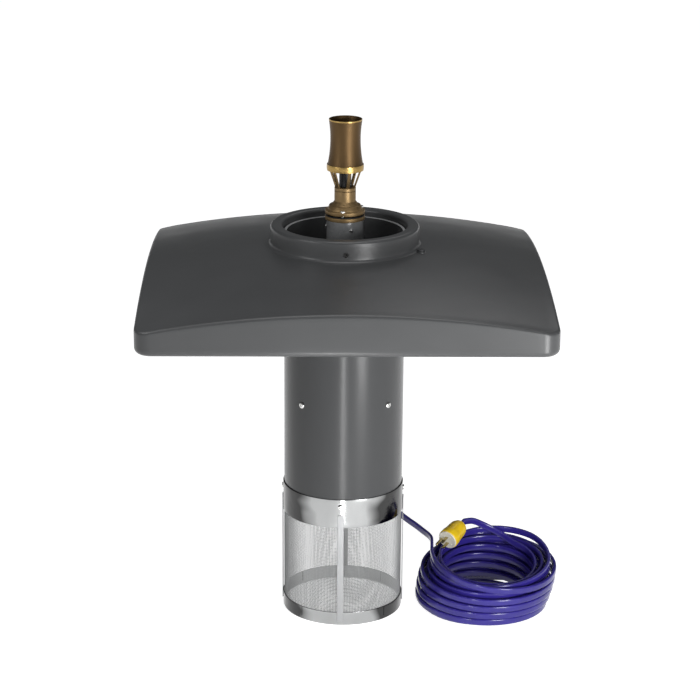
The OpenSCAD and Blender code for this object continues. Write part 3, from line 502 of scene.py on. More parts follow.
# Shares of the way from motor to tube wall, and from the gland's height to the connector's
MOTOR_ROUTE = [(0.73, 0), (0.55, 0.06), (0.43, 0.15), (0.41, 0.33), (0.41, 0.56), (0.41, 0.78),
               (0.4, 0.9), (0.34, 0.98)]
PLUG_AT = Vector((211, 26, 128))
PLUG_HEADING = math.radians(235)
PLUG_DIP = math.radians(16)
PLUG_LEN = 52
PLUG_R = 19.5
BLADE_Y, BLADE_OUT = 6.35, 17
PIN_X, PIN_OUT = -11.938, 20
PLUG_OUT = Vector((
    math.cos(PLUG_DIP) * math.cos(PLUG_HEADING),
    math.cos(PLUG_DIP) * math.sin(PLUG_HEADING),
    -math.sin(PLUG_DIP),
))

COIL_AT = (270, -13)
COIL_LEAN = (0.24, 0.08)
COIL_MID = 52
COIL_BARREL = 8  # how far the lowest turns lie inside the middle ones
COIL_START = 175
COIL_END = 50
Z_LOW = LEAD_W / 2
PITCH = 12.5
OUTER_R = 126
SLACK = 0.65  # keeps the outer layer inside the solids' box
EASE = 0.4  # share of a turn in which a layer comes to its radius
HOLD = 0.15  # share of a turn in which it comes to its first height
FAN = 0.15  # share by which the coil stands higher at the back and lower in front
COIL_TURNS = 22 + (COIL_END - COIL_START) / 360
WOUND = (0.5, 4.1, 5.88, 6)
# Turns, radius, first and last height of each leg of the winding
LEGS = (
    (WOUND[0], OUTER_R, 108, 77),
    (WOUND[1], OUTER_R, 77, 14.5),
    (WOUND[2], OUTER_R - PITCH, Z_LOW, 93),
    (WOUND[3], OUTER_R - 2 * PITCH, 99, Z_LOW),
    (COIL_TURNS - sum(WOUND), OUTER_R - 3 * PITCH, Z_LOW, 82.5),
)
LOOP_RINGS = 48


def smooth(u):
    u = min(1, max(0, u))
    return u * u * (3 - 2 * u)


def mix(a, b, u):
    return a + (b - a) * u


def coil_point(t):
    k, s = 0, t
    while k < len(LEGS) - 1 and s >= LEGS[k][0]:
        s -= LEGS[k][0]
        k += 1
    turns, leg_r, z0, z1 = LEGS[k]
    if k == 0:
        r, level = leg_r, mix(z0, z1, smooth(s / turns))
    else:
        wait = 0 if k < 2 else HOLD
        r = mix(LEGS[k - 1][1], leg_r, smooth(s / EASE))
        if s < wait:
            level = mix(LEGS[k - 1][3], z0, smooth(s / wait))
        else:
            level = mix(z0, z1, (s - wait) / (turns - wait))
    a = math.radians(COIL_START) + TAU * t
    z = Z_LOW + (level - Z_LOW) * (1 + FAN * math.sin(a))
    r -= COIL_BARREL * (level / COIL_MID - 1) ** 2 + (SLACK if k < 2 else 0)
    return Vector((
        COIL_AT[0] + COIL_LEAN[0] * (z - COIL_MID) + r * math.cos(a),
        COIL_AT[1] + COIL_LEAN[1] * (z - COIL_MID) + r * math.sin(a),
        z,
    ))


def route(points, steps):
    """A smooth line through the points."""
    p = [Vector(q) for q in points]
    n = len(p) - 1
    out = []
    for i in range(n):
        a, b, c, d = p[max(i - 1, 0)], p[i], p[min(i + 1, n)], p[min(i + 2, n)]
        for k in range(steps):
            u = k / steps
            out.append(0.5 * (2 * b + (c - a) * u + (2 * a - 5 * b + 4 * c - d) * u * u
                              + (3 * b - a - 3 * c + d) * u ** 3))
    return out + [p[-1]]


def run(start, start_way, middle, end, end_way, steps):
    """A route that runs straight for a lead's width at both its ends."""
    line = [start + start_way * LEAD_W] + [Vector(p) for p in middle] + [end - end_way * LEAD_W]
    return [start] + route(line, steps) + [end]


def sweep(name, path, section, up, slots, angle=50):
    """A section of (across, up) points carried along a path."""
    n, m = len(path), len(section)
    verts, faces = [], []
    for i, p in enumerate(path):
        t = (path[min(i + 1, n - 1)] - path[max(i - 1, 0)]).normalized()
        s = t.cross(up).normalized()
        w = s.cross(t)
        verts += [p + s * q[0] + w * q[1] for q in section]
    for i in range(n - 1):
        faces += join(i * m, (i + 1) * m, m)
    faces += [tuple(range(m)), tuple(range((n - 1) * m, n * m))]
    return solid(name, verts, faces, slots, angle=angle)


def flat_section():
    """The flat lead's rounded outline."""
    def bulge(value, power):
        return math.copysign(abs(value) ** power, value)

    turns = [TAU * (i + 0.5) / SECTION_SIDES for i in range(SECTION_SIDES)]
    return [(-LEAD_T / 2 * bulge(math.sin(a), SIDE_POWER),
             LEAD_W / 2 * bulge(math.cos(a), END_POWER)) for a in turns]


def from_gland(r, z):
    return GLAND_OUT * r + Vector((0, 0, z))


def make_cord():
    rings = round(COIL_TURNS * LOOP_RINGS)
    coil = [coil_point(i * COIL_TURNS / rings) for i in range(rings + 1)]
    coil_way, end_way = (coil[1] - coil[0]).normalized(), (coil[-1] - coil[-2]).normalized()
    gland = from_gland(RELIEF_TIP, GLAND_H)
    first = run(gland, GLAND_OUT, LEAD_ROUTE, coil[0], coil_way, LEAD_STEPS)
    plug_back = PLUG_AT - PLUG_OUT * (PLUG_LEN / 2)
    tail = run(coil[-1], end_way, TAIL_ROUTE, plug_back, PLUG_OUT, TAIL_STEPS)
    path = first[:-1] + coil + tail[1:]
    cord = sweep("supply_cord", path, flat_section(), Vector((0, 0, 1)), ["lead"])
    length = sum((b - a).length for a, b in zip(path, path[1:])) * MM
    return dress(cord, "hull", "lead", "supply_lead", "lead_coil", "lead_tail"), path, length


cord, cord_path, cord_length = make_cord()


# ---- shroud tube and pipe
def ring_outline(r_in, r_out, z0, z1, edge):
    return rounded([(r_in, z0, edge), (r_out, z0, edge), (r_out, z1, edge), (r_in, z1, edge)], 3)


def long_ring(name, r_in, r_out, z0, z1, edge, slots, n=256, rows=12):
    """A tube with rows along its length, so its shading stays even.

    A second slot, where one is given, is the finish of its top edge.
    """
    outline = ring_outline(r_in, r_out, z0, z1, edge)
    line = []
    for a, b in zip(outline, outline[1:] + outline[:1]):
        line.append(a)
        if abs(a[1] - b[1]) > (z1 - z0) / 2:
            line += [(mix(a[0], b[0], k / rows), mix(a[1], b[1], k / rows))
                     for k in range(1, rows)]
    top = z1 - edge * 1.01

    def on_top(k):
        return int(len(slots) > 1 and min(line[k][1], line[(k + 1) % len(line)][1]) > top)

    return lathe(name, line, slots, n, mark=on_top)


tube = long_ring("tube_wall", TUBE_IN_R, TUBE_R, TUBE_FOOT, TUBE_TOP, 0.9, ["pvc", "pvc_cut"])
dress(tube, "hull", "pvc", "shroud_tube")
PIPE_R = radius("discharge_pipe")
PIPE_FOOT, PIPE_TOP = heights("discharge_pipe")
# The riser's paler finish is painted light for the inside of the tube.
pipe = long_ring("riser_pipe", PIPE_R - PIPE_WALL, PIPE_R, PIPE_FOOT, PIPE_TOP, 0.6, ["riser"],
                 128)
dress(pipe, "hull", "pvc", "discharge_pipe")

# ---- float
FLOAT_W = radius("float_shell") * 2
FLOAT_BASE, COLLAR_TOP = heights("float_shell")
FLOAT_SHARP = 38
CORNER_H, SIDE_RISE = 40, 34
CORNER_R = 30
BORE_R, COLLAR_R = 112.0, 134.0
BORE_CHAMFER = 3
LIP_R, FILLET_R = 5.5, 7
FILLET_SWEEP = 86
CREASE_R, BASE_R = 7, 11
POCKET_R, POCKET_LEN = 4.8, 20
POCKET_AT = (COLLAR_R - 8, COLLAR_TOP - 23.5)
CAP_LOW, CAP_HIGH = span("fill_plug")
CAP_TOP = CAP_HIGH.z
CAP_AT = moved((CAP_LOW.x + CAP_HIGH.x) / 2, (CAP_LOW.y + CAP_HIGH.y) / 2, 0)
DOME_R = FLOAT_W ** 2 / (8 * SIDE_RISE)
DOME_Z = FLOAT_BASE + CORNER_H + SIDE_RISE - math.sqrt(DOME_R ** 2 - FLOAT_W ** 2 / 4)


def dome(r):
    return DOME_Z + math.sqrt(DOME_R ** 2 - r * r)


def edge_at(angle, inset):
    """Distance from the axis to the rounded square's side, drawn in by inset."""
    half = FLOAT_W / 2 - inset
    rc = max(CORNER_R - inset, 1)
    a = abs(math.remainder(angle, TAU / 4))
    c, s = math.cos(a), math.sin(a)
    if half * s / c <= half - rc:
        return half / c
    m = half - rc
    b = m * (c + s)
    return b + math.sqrt(b * b - 2 * m * m + rc * rc)


def float_angles():
    """Directions to points spaced along the sides and closer round the corners."""
    half, side, turn = FLOAT_W / 2, 44, 14
    flat = half - CORNER_R
    quarter = [math.atan2(mix(-flat, flat, i / side), half) for i in range(side)]
    for i in range(turn):
        a = math.radians(90 * i / turn)
        quarter.append(math.atan2(flat + CORNER_R * math.sin(a), flat + CORNER_R * math.cos(a)))
    return [q + k * TAU / 4 for k in range(4) for q in quarter]


def arc(steps, first=1, sweep=90):
    """Sine and cosine at each step of a turn."""
    turns = [math.radians(sweep * k / steps) for k in range(first, steps + 1)]
    return [(math.sin(a), math.cos(a)) for a in turns]


def float_rows(angles):
    """Rings of (radius, height): up the bore, over the collar and the top, and back below."""
    rows = []

    def circle(r, z):
        rows.append([(r, z)] * len(angles))

    for k in range(13):
        circle(BORE_R, mix(FLOAT_BASE + BORE_CHAMFER, COLLAR_TOP - LIP_R, k / 12))
    for s, c in arc(8):
        circle(BORE_R + LIP_R * (1 - c), COLLAR_TOP - LIP_R * (1 - s))
    for s, c in arc(8, 0):
        circle(COLLAR_R - LIP_R * (1 - s), COLLAR_TOP - LIP_R * (1 - c))
    foot = dome(COLLAR_R + FILLET_R)
    for k in range(1, 5):
        circle(COLLAR_R, mix(COLLAR_TOP - LIP_R, foot + FILLET_R, k / 4))
    for s, c in arc(8, sweep=FILLET_SWEEP):
        circle(COLLAR_R + FILLET_R * (1 - c), foot + FILLET_R * (1 - s))
    for k in range(17):
        reach = [mix(COLLAR_R + FILLET_R + 1, edge_at(a, CREASE_R), k / 16) for a in angles]
        rows.append([(r, dome(r)) for r in reach])
    crease = [(a, z) for a, (r, z) in zip(angles, rows[-1])]
    for s, c in arc(7):
        rows.append([(edge_at(a, CREASE_R * (1 - s)), z - CREASE_R * (1 - c)) for a, z in crease])
    for k in range(1, 9):
        rows.append([(edge_at(a, 0), mix(z - CREASE_R, FLOAT_BASE + BASE_R, k / 8))
                     for a, z in crease])
    for s, c in arc(7):
        rows.append([(edge_at(a, BASE_R * (1 - c)), FLOAT_BASE + BASE_R * (1 - s))
                     for a in angles])
    for k in range(1, 9):
        rows.append([(mix(edge_at(a, BASE_R), BORE_R + BORE_CHAMFER, k / 8), FLOAT_BASE)
                     for a in angles])
    return rows


def make_float():
    angles = float_angles()
    rows = float_rows(angles)
    n, m = len(angles), len(rows)
    verts, faces = [], []
    for k, row in enumerate(rows):
        verts += [(r * math.cos(a), r * math.sin(a), z) for a, (r, z) in zip(angles, row)]
        faces += join(k * n, (k + 1) % m * n, n)
    shell = solid("float_body", verts, faces, ["float"], angle=FLOAT_SHARP)
    pockets = [put(rod("hole", POCKET_R, 0, POCKET_LEN, "float"),
                   outward(FRONT + 90 * k, *POCKET_AT)) for k in range(4)]
    shell = combine(shell, pockets, angle=FLOAT_SHARP)
    root, rim = CAP_TOP - 20, CAP_TOP - 3.4
    boss = lathe("boss", [(0, root), (9.6, root), (8.2, rim - 1.2), (7.4, rim), (0, rim)],
                 ["float"], 40)
    shell = combine(shell, [put(boss, CAP_AT)], "UNION", angle=FLOAT_SHARP)
    dress(refinish(shell, "float"), "hull", "float", "float_shell")


def make_cap():
    root, under = CAP_TOP - 10, CAP_TOP - 3.2
    cap = lathe("fill_cap", rounded([
        (0, root, 0), (4.4, root, 0), (4.4, under, 0), (7, under, 0.6), (7, CAP_TOP, 1.1),
        (0, CAP_TOP, 0)], 4), ["stopper"], 48)
    slot = block("slot", -5, 5, -0.8, 0.8, CAP_TOP - 1, CAP_TOP + 1, "stopper")
    cap = combine(cap, [put(slot, turned(0.6))])
    dress(put(cap, CAP_AT), "hull", "stopper", "fill_plug")


make_float()
make_cap()


# ---- screws and bolts
def cross_screw(name, head_r, head_h, shank_r, shank_len):
    """A pan head with a cross recess, head upwards."""
    turns = [math.radians(a) for a in range(0, 91, 15)]
    line = [(head_r * math.sin(a) ** 0.8, head_h * (0.35 + 0.65 * math.cos(a))) for a in turns]
    line += [(head_r, head_h * 0.12), (head_r * 0.97, 0), (shank_r, 0), (shank_r, -shank_len),
             (0, -shank_len)]
    obj = lathe(name, line, ["screw"], 40)
    long, wide, low = head_r * 0.55, head_r * 0.13, head_h - head_h * 0.55
    bars = [put(block("bar", -long, long, -wide, wide, low, head_h + 1, "screw"), turned(angle))
            for angle in (0, math.pi / 2)]
    return combine(obj, bars)


def screw_ring(name, node, angles, r, z, head_r, head_h, shank_r, shank_len):
    """Screws round the axis, each stopped at its own turn."""
    one = cross_screw(name + "_one", head_r, head_h, shank_r, shank_len)
    parts = [(one, outward(a, r, z) @ turned(0.5 + 1.1 * i)) for i, a in enumerate(angles)]
    dress(gather(name, parts, "screw"), "hull", "screw", node)


BAND_ANGLES = [FRONT + STRAINER_TURN + 90 * k for k in range(4)]
SPIDER_ANGLES = [FRONT + 46 + 90 * k for k in range(4)]
SOCKET_ANGLES = [FRONT + 19 + 120 * k for k in range(3)]
BAND_SCREW_H = 233
SPIDER_SCREW_H = 418
SOCKET_SCREW_H = PIPE_TOP - 15
screw_ring("strap_screws", "band_screws", BAND_ANGLES, TUBE_R + 2.1, BAND_SCREW_H,
           5.2, 2.8, 2, 8)
screw_ring("spider_fixings", "spider_screws", SPIDER_ANGLES, TUBE_R + 0.2, SPIDER_SCREW_H,
           5.6, 3.2, 3, 10)
screw_ring("riser_screws", "socket_screws", SOCKET_ANGLES, PIPE_R + 0.2, SOCKET_SCREW_H,
           3.4, 2.2, 2, 6)


def hex_bolt(name, across_r, height, shank_r, shank_len):
    """A hexagon head with a chamfered top, on its shank."""
    rim = [math.radians(60 * k) for k in range(6)]
    rows = [(across_r, 0), (across_r, height * 0.78), (across_r * 0.86, height)]
    verts = [(r * math.cos(a), r * math.sin(a), z) for r, z in rows for a in rim]
    faces = join(0, 6, 6) + join(6, 12, 6) + [tuple(range(5, -1, -1)), tuple(range(12, 18))]
    head = solid(name, verts, faces, ["screw"], angle=20)
    shank = rod("shank", shank_r, -shank_len, 0.3, "screw")
    return gather(name + "_set", [(head, Matrix()), (shank, Matrix())], "screw")


# ---- nozzle
FLANGE_R = radius("clamp_ring")
SOCKET_Z = PIPE_TOP
GASKET_Z = heights("flange_gasket")[0]
CLAMP_Z = heights("clamp_ring")[0]
CLAMP_TOP = CLAMP_Z + 9
BALL_Z = CLAMP_Z + 6
BALL_R, CUP_R, RECESS_R = 26.5, 26.8, 27.1
BALL_DROP = 13.7
NECK_R, NECK_BORE = 19.3, 14
NECK_TOP = BALL_Z + 37
HUB_TOP = NECK_TOP + 7
HUB_BORE = 11
SLEEVE_Z, SLEEVE_TOP = heights("nozzle_sleeve")
SLEEVE_H = SLEEVE_TOP - SLEEVE_Z
SLEEVE_STEPS = 40
FOOT_R, WAIST_R, MOUTH_R = 34.2, 27, 30.2
WAIST = 0.62
SLEEVE_WALL = 2.6
RIM_CHAMFER = 0.5
LIP_SHARE = 0.118  # shares of the sleeve's height where its foot ends and its rim starts
RIM_SHARE = 0.965


def sleeve_r(u):
    if u < WAIST:
        return WAIST_R + (FOOT_R - WAIST_R) * (1 - u / WAIST) ** 2
    return WAIST_R + (MOUTH_R - WAIST_R) * ((u - WAIST) / (1 - WAIST)) ** 2


def slice_r(r, h):
    """The radius of a ball's slice at a height from its middle."""
    return math.sqrt(r ** 2 - h * h)


def make_flange():
    foot = SOCKET_Z - 24
    recess = [(slice_r(RECESS_R, h), BALL_Z - h, 0) for h in (14, 15.5, 17, 18.28)]
    socket = lathe("riser_flange", rounded([
        (20, foot, 0), (29.8, foot, 0.5), (29.8, SOCKET_Z, 0), (FLANGE_R, SOCKET_Z, 1),
        (FLANGE_R, GASKET_Z, 0.8), (29.4, GASKET_Z, 0.3), (29.4, SOCKET_Z + 1, 0)] + recess, 3),
        ["bronze"], 128)
    dress(socket, "hull", "bronze", "nozzle_socket")
    outline = ring_outline(CUP_R, FLANGE_R - 1, GASKET_Z, CLAMP_Z, 0.5)
    dress(lathe("gasket_ring", outline, ["rubber"], 128), "hull", "rubber", "flange_gasket")
    cup = [(slice_r(CUP_R, h), BALL_Z + h) for h in (13.8, 12, 10, 8, 6, 4, 2, 0)]
    outside = rounded([
        (FLANGE_R, CLAMP_Z, 0.8), (FLANGE_R, CLAMP_TOP, 1.4), (31.4, CLAMP_TOP, 1.2),
        (30.4, CLAMP_TOP + 3.2, 1.4), (27.4, CLAMP_TOP + 8.4, 3), (24.2, CLAMP_TOP + 10, 1.2)], 5)
    clamp = lathe("clamp_flange", [(CUP_R, CLAMP_Z)] + outside[:-1] + cup, ["bronze"], 144)
    dress(clamp, "hull", "bronze", "clamp_ring")
    bolt = hex_bolt("bolt", 3.9, 3.4, 1.95, 16)
    at = moved(FLANGE_R - 4.2, 0, CLAMP_TOP + 0.1)
    bolts = gather("flange_bolts", [
        (bolt, turned(math.radians(FRONT - 8 + 120 * k)) @ at @ turned(0.35 * k))
        for k in range(3)], "screw")
    dress(bolts, "hull", "screw", "clamp_bolts")


def make_ball():
    levels = [1.6 * i - BALL_DROP for i in range(20)]
    ball = [(slice_r(BALL_R, h), BALL_Z + h) for h in levels]
    neck = rounded([(NECK_R, BALL_Z + 18.4, 1.6), (NECK_R, NECK_TOP, 0.6),
                    (NECK_BORE, NECK_TOP, 0.6), (NECK_BORE, BALL_Z - BALL_DROP, 0)], 4)
    dress(lathe("ball_and_neck", ball + neck, ["bronze"], 144), "nozzle", "bronze", "nozzle_ball")


def make_legs():
    """Six bars from a hub on the neck up to a ring inside the sleeve's foot."""
    foot_z = NECK_TOP + 0.1
    hub = lathe("hub", rounded([(HUB_BORE, foot_z, 0), (NECK_R, foot_z, 0.4),
                                (NECK_R, HUB_TOP, 1.6), (HUB_BORE, HUB_TOP, 0.4)], 4),
                ["bronze"], 96)
    outline = ring_outline(27.6, 30.6, SLEEVE_Z + 0.2, SLEEVE_Z + 8, 0.5)
    carrier = lathe("carrier", outline, ["bronze"], 96)
    foot, head = Vector((16.6, 0, HUB_TOP - 1.5)), Vector((29.2, 0, SLEEVE_Z + 4))
    bar = block("bar", -1.5, 1.5, -2.9, 2.9, 0, (head - foot).length, "bronze", 0.7)
    stand = moved(*foot) @ turned(math.atan2(head.x - foot.x, head.z - foot.z), "Y")
    parts = [(hub, Matrix()), (carrier, Matrix())]
    parts += [(bar, turned(math.radians(FRONT + 15 + 60 * k)) @ stand) for k in range(6)]
    dress(gather("sleeve_legs", parts, "bronze"), "nozzle", "bronze", "nozzle_legs")


def make_sleeve():
    """The flared sleeve, brighter outside on its foot and rim."""
    lip_r, lip_z = sleeve_r(LIP_SHARE), SLEEVE_Z + SLEEVE_H * LIP_SHARE
    line = []
    for i in range(SLEEVE_STEPS + 1):
        u = i / SLEEVE_STEPS
        z = SLEEVE_Z + SLEEVE_H * u
        if u >= LIP_SHARE:
            line.append((sleeve_r(u), z))
            continue
        r = lip_r + 1.2 + 0.5 * math.sin(math.pi * u / LIP_SHARE)
        line.append((r, z))
        if (i + 1) / SLEEVE_STEPS >= LIP_SHARE:
            line += [(r - 0.2, lip_z), (lip_r, lip_z + 0.2)]
    line[-1] = (line[-1][0] - RIM_CHAMFER, line[-1][1])
    outside = len(line)
    for i in range(SLEEVE_STEPS, -1, -1):
        u = i / SLEEVE_STEPS
        r = sleeve_r(u) - SLEEVE_WALL
        line.append((r + RIM_CHAMFER if i == SLEEVE_STEPS else r, SLEEVE_Z + SLEEVE_H * u))
    lip_top, rim_low = lip_z + 0.1, SLEEVE_Z + SLEEVE_H * RIM_SHARE

    def gilt(k):
        middle = (line[k][1] + line[(k + 1) % len(line)][1]) / 2
        return int(k < outside and not lip_top <= middle <= rim_low)

    # The sleeve's body takes the bronze darkened as painted shade.
    sleeve = lathe("cascade_sleeve", line, ["sleeve_bronze_shaded", "bronze_bright"], mark=gilt)
    dress(sleeve, "nozzle", "bronze", "nozzle_sleeve")


def make_jet():
    """The black perforated tube: blind holes in a grid over a plain bore."""
    r_out, r_in, depth = 10.8, 9.2, 1.0
    z0, z1 = NECK_TOP - 14, heights("jet_tube")[1]
    low, high = HUB_TOP - 6, SLEEVE_Z + 12
    cols, rows = 28, 18
    n = cols * 2
    cell = (high - low) / rows
    hole_r = 0.32
    turns = [math.radians(225 + 45 * k) for k in range(8)]
    hole = [(0.5 + hole_r * math.cos(a), 0.5 + hole_r * math.sin(a)) for a in turns]
    square = ((0, 0), (0.5, 0), (1, 0), (1, 0.5), (1, 1), (0.5, 1), (0, 1), (0, 0.5))
    verts, faces = [], []

    def ring(points, r):
        verts.extend((r * math.cos(TAU * u / cols), r * math.sin(TAU * u / cols), z)
                     for u, z in points)
        return len(verts) - len(points)

    def level(r, z):
        return ring([(i / 2, z) for i in range(n)], r)

    for j in range(rows):
        for i in range(cols):
            outer, inner = ([(i + x, low + cell * (j + y)) for x, y in shape]
                            for shape in (square, hole))
            side, edge, floor = ring(outer, r_out), ring(inner, r_out), ring(inner, r_out - depth)
            faces += join(side, edge, 8) + join(edge, floor, 8) + [tuple(range(floor, floor + 8))]
    foot, head = level(r_out, z0), level(r_out, z1)
    bore_foot, bore_head = level(r_in, z0), level(r_in, z1)
    for p, q in ((foot, level(r_out, low)), (level(r_out, high), head), (bore_foot, bore_head),
                 (bore_foot, foot), (bore_head, head)):
        faces += join(p, q, n)
    jet = solid("jet_screen", verts, faces, ["black_plastic"], angle=40)
    dress(jet, "nozzle", "black_plastic", "jet_tube")


make_flange()
make_ball()
make_legs()
make_sleeve()
make_jet()

# ---- strainer
BAND_FOOT, BAND_TOP = heights("strainer_band")
SHELL_R = TUBE_R + 0.2
BAND_OUT = SHELL_R + 1.8
BASE_H = 25
NOTCHES = [FRONT - 43, FRONT + 43, 90 - 43, 90 + 43]
INWARD = -0.05  # below this, a face of the ring looks at the axis
WIRE, MESH_PITCH = 0.36, 2.9
WIRE_SECTION = ((WIRE, 0), (0, WIRE), (-WIRE, 0), (0, -WIRE))
RIM_SECTION = ((0.5, -0.5), (0.5, 0.5), (-0.5, 0.5), (-0.5, -0.5))
LAYER = 0.24  # from the floor's middle to each layer of its wires
HOOP_STEPS = 144


def make_rings():
    band = long_ring("polished_band", SHELL_R, BAND_OUT, BAND_FOOT, BAND_TOP, 0.5,
                     ["steel_band"], rows=8)
    dress(band, "hull", "steel_band", "strainer_band")
    base = long_ring("foot_ring", SHELL_R, BAND_OUT, 0, BASE_H, 0.5, ["steel_band"], rows=5)
    base = combine(base, [
        put(block("notch", 100, 120, -0.8, 0.8, 6.25, 40, "steel_band"), turned(math.radians(a)))
        for a in NOTCHES])
    # Its inner face, seen through the mesh, takes the floor wires' paler finish: painted light
    # that lifts the ring's own shade
    base.data.materials.append(MATS["floor_wire"])
    for face in base.data.polygons:
        if face.center.xy.dot(face.normal.xy) < INWARD:
            face.material_index = len(base.data.materials) - 1
    dress(base, "hull", "steel_band", "base_ring")


def make_straps():
    """Flat bars bent to the ring, with clipped corners at both ends."""
    verts, faces = [], []
    inner, outer, half, corner = BAND_OUT + 0.1, BAND_OUT + 1.5, 6.0, 0.45
    z0, z1 = 7.5, BAND_SCREW_H - 16
    across = 10
    for a in BAND_ANGLES:
        starts = []
        for z, share in ((z0, 0.7), (z0 + 2, 1), (z0 + 70, 1),
                         (z1 - 70, 1), (z1 - 2, 1), (z1, 0.7)):
            h = half * share
            side = [mix(-h + corner, h - corner, k / across) for k in range(across + 1)]
            line = [(outer, y) for y in side] + [(outer - corner, h), (inner + corner, h)]
            line += [(inner, -y) for y in side] + [(inner + corner, -h), (outer - corner, -h)]
            starts.append(len(verts))
            for r, y in line:
                b = math.radians(a) + y / outer
                verts.append((r * math.cos(b), r * math.sin(b), z))
        m = len(line)
        for p, q in zip(starts, starts[1:]):
            faces += join(p, q, m)
        faces += [tuple(range(p, p + m)) for p in (starts[0], starts[-1])]
    straps = solid("strap_bars", verts, faces, ["strap"], angle=40)
    dress(straps, "hull", "stainless", "strainer_straps")


def bar_faces(count):
    """The faces of straight wires, each drawn as a square of points at both ends."""
    out = []
    for s in range(0, 8 * count, 8):
        out += join(s, s + 4, 4) + [(s, s + 1, s + 2, s + 3), (s + 7, s + 6, s + 5, s + 4)]
    return out


def add_hoop(verts, faces, r, z, section):
    """A wire with a four-sided section, closed round the axis."""
    start = len(verts)
    for i in range(HOOP_STEPS):
        a = TAU * i / HOOP_STEPS
        verts += [((r + dr) * math.cos(a), (r + dr) * math.sin(a), z + dz) for dr, dz in section]
        faces += join(start + 4 * i, start + 4 * ((i + 1) % HOOP_STEPS), 4)


def make_wall():
    """The strainer's wall as real wires: upright rods inside hoops."""
    low, top = heights("strainer_floor")[0] + 0.4, TUBE_FOOT
    r_rod, r_hoop = TUBE_R - 0.75, TUBE_R - 0.32
    count = round(TAU * r_rod / MESH_PITCH)
    verts = []
    for i in range(count):
        a = TAU * i / count
        c, s = math.cos(a), math.sin(a)
        verts += [((r_rod + dr) * c - dt * s, (r_rod + dr) * s + dt * c, z)
                  for z in (low, top) for dr, dt in WIRE_SECTION]
    faces = bar_faces(count)
    for j in range(int((top - low) / MESH_PITCH)):
        add_hoop(verts, faces, r_hoop, low + 1 + j * MESH_PITCH, WIRE_SECTION)
    dress(solid("wire_wall", verts, faces, ["mesh"], angle=60), "hull", "mesh", "strainer_mesh")


def make_floor():
    """The strainer's floor: two crossed layers of wires in a rim."""
    verts = []
    reach = TUBE_R - 0.3
    z_mid = sum(heights("strainer_floor")) / 2
    lines = [(k + 0.5) * MESH_PITCH for k in range(-38, 38)]
    lines = [y for y in lines if abs(y) < reach - 2]
    for turn in (0, 1):
        z = z_mid + (LAYER if turn else -LAYER)
        for y in lines:
            h = math.sqrt(reach ** 2 - y * y)
            for x in (-h, h):
                for dy, dz in WIRE_SECTION:
                    verts.append((y + dy, x, z + dz) if turn else (x, y + dy, z + dz))
    faces = bar_faces(2 * len(lines))
    add_hoop(verts, faces, reach - 0.4, z_mid, RIM_SECTION)
    floor = solid("wire_floor", verts, faces, ["floor_wire"], angle=60)
    dress(floor, "hull", "mesh", "strainer_floor")


make_rings()
make_straps()
make_wall()
make_floor()


# ---- strain relief and motor lead
def make_relief():
    """A ribbed sleeve with a slot along it for the lead."""
    line = [(3.0, 0), (9.3, 0)]
    for k in range(5):
        z = 2.4 + 3.0 * k
        r = mix(9.4, 7.8, z / RELIEF_LEN)
        line += [(r, z - 0.9), (r, z + 0.5), (r - 1.3, z + 0.9), (r - 1.3, z + 1.7)]
    line += [(7.5, RELIEF_LEN - 0.8), (7.0, RELIEF_LEN), (3.0, RELIEF_LEN)]
    relief = lathe("relief_sleeve", line, ["black_plastic"], 48)
    w, t = LEAD_W / 2 + 0.2, LEAD_T / 2 + 0.2
    relief = combine(relief, [block("slot", -w, w, -t, t, -1, RELIEF_LEN + 1, "black_plastic")])
    put(relief, outward(math.degrees(GLAND_TURN), RELIEF_FOOT, GLAND_H))
    return dress(relief, "hull", "black_plastic", "strain_relief")


relief = make_relief()


def make_motor_lead():
    connector_h = sum(heights("lead_connector")) / 2
    middle = [from_gland(mix(MOTOR_R, TUBE_IN_R, a), mix(GLAND_H, connector_h, b))
              for a, b in MOTOR_ROUTE]
    first = from_gland(RELIEF_TIP - LEAD_W, GLAND_H)
    last = from_gland(CONNECTOR_R, connector_h)
    path = run(first, -GLAND_OUT, middle, last, -GLAND_OUT, LEAD_STEPS)
    turns = [TAU * k / SECTION_SIDES for k in range(SECTION_SIDES)]
    section = [(MOTOR_LEAD_R * math.cos(a), MOTOR_LEAD_R * math.sin(a)) for a in turns]
    side = Vector((-math.sin(GLAND_TURN), math.cos(GLAND_TURN), 0))
    dress(sweep("inner_lead", path, section, side, ["lead"]), "hull", "lead", "motor_lead")


make_motor_lead()


# ---- plug
def at_plug(obj):
    """Moves a piece drawn along Z, from the plug's back at 0 to its face, into place."""
    heading = turned(PLUG_HEADING) @ turned(PLUG_DIP, "Y")
    lying = turned(math.pi / 2, "X") @ turned(math.pi / 2, "Y")
    return put(obj, moved(*PLUG_AT) @ heading @ moved(-PLUG_LEN / 2, 0, 0) @ lying)


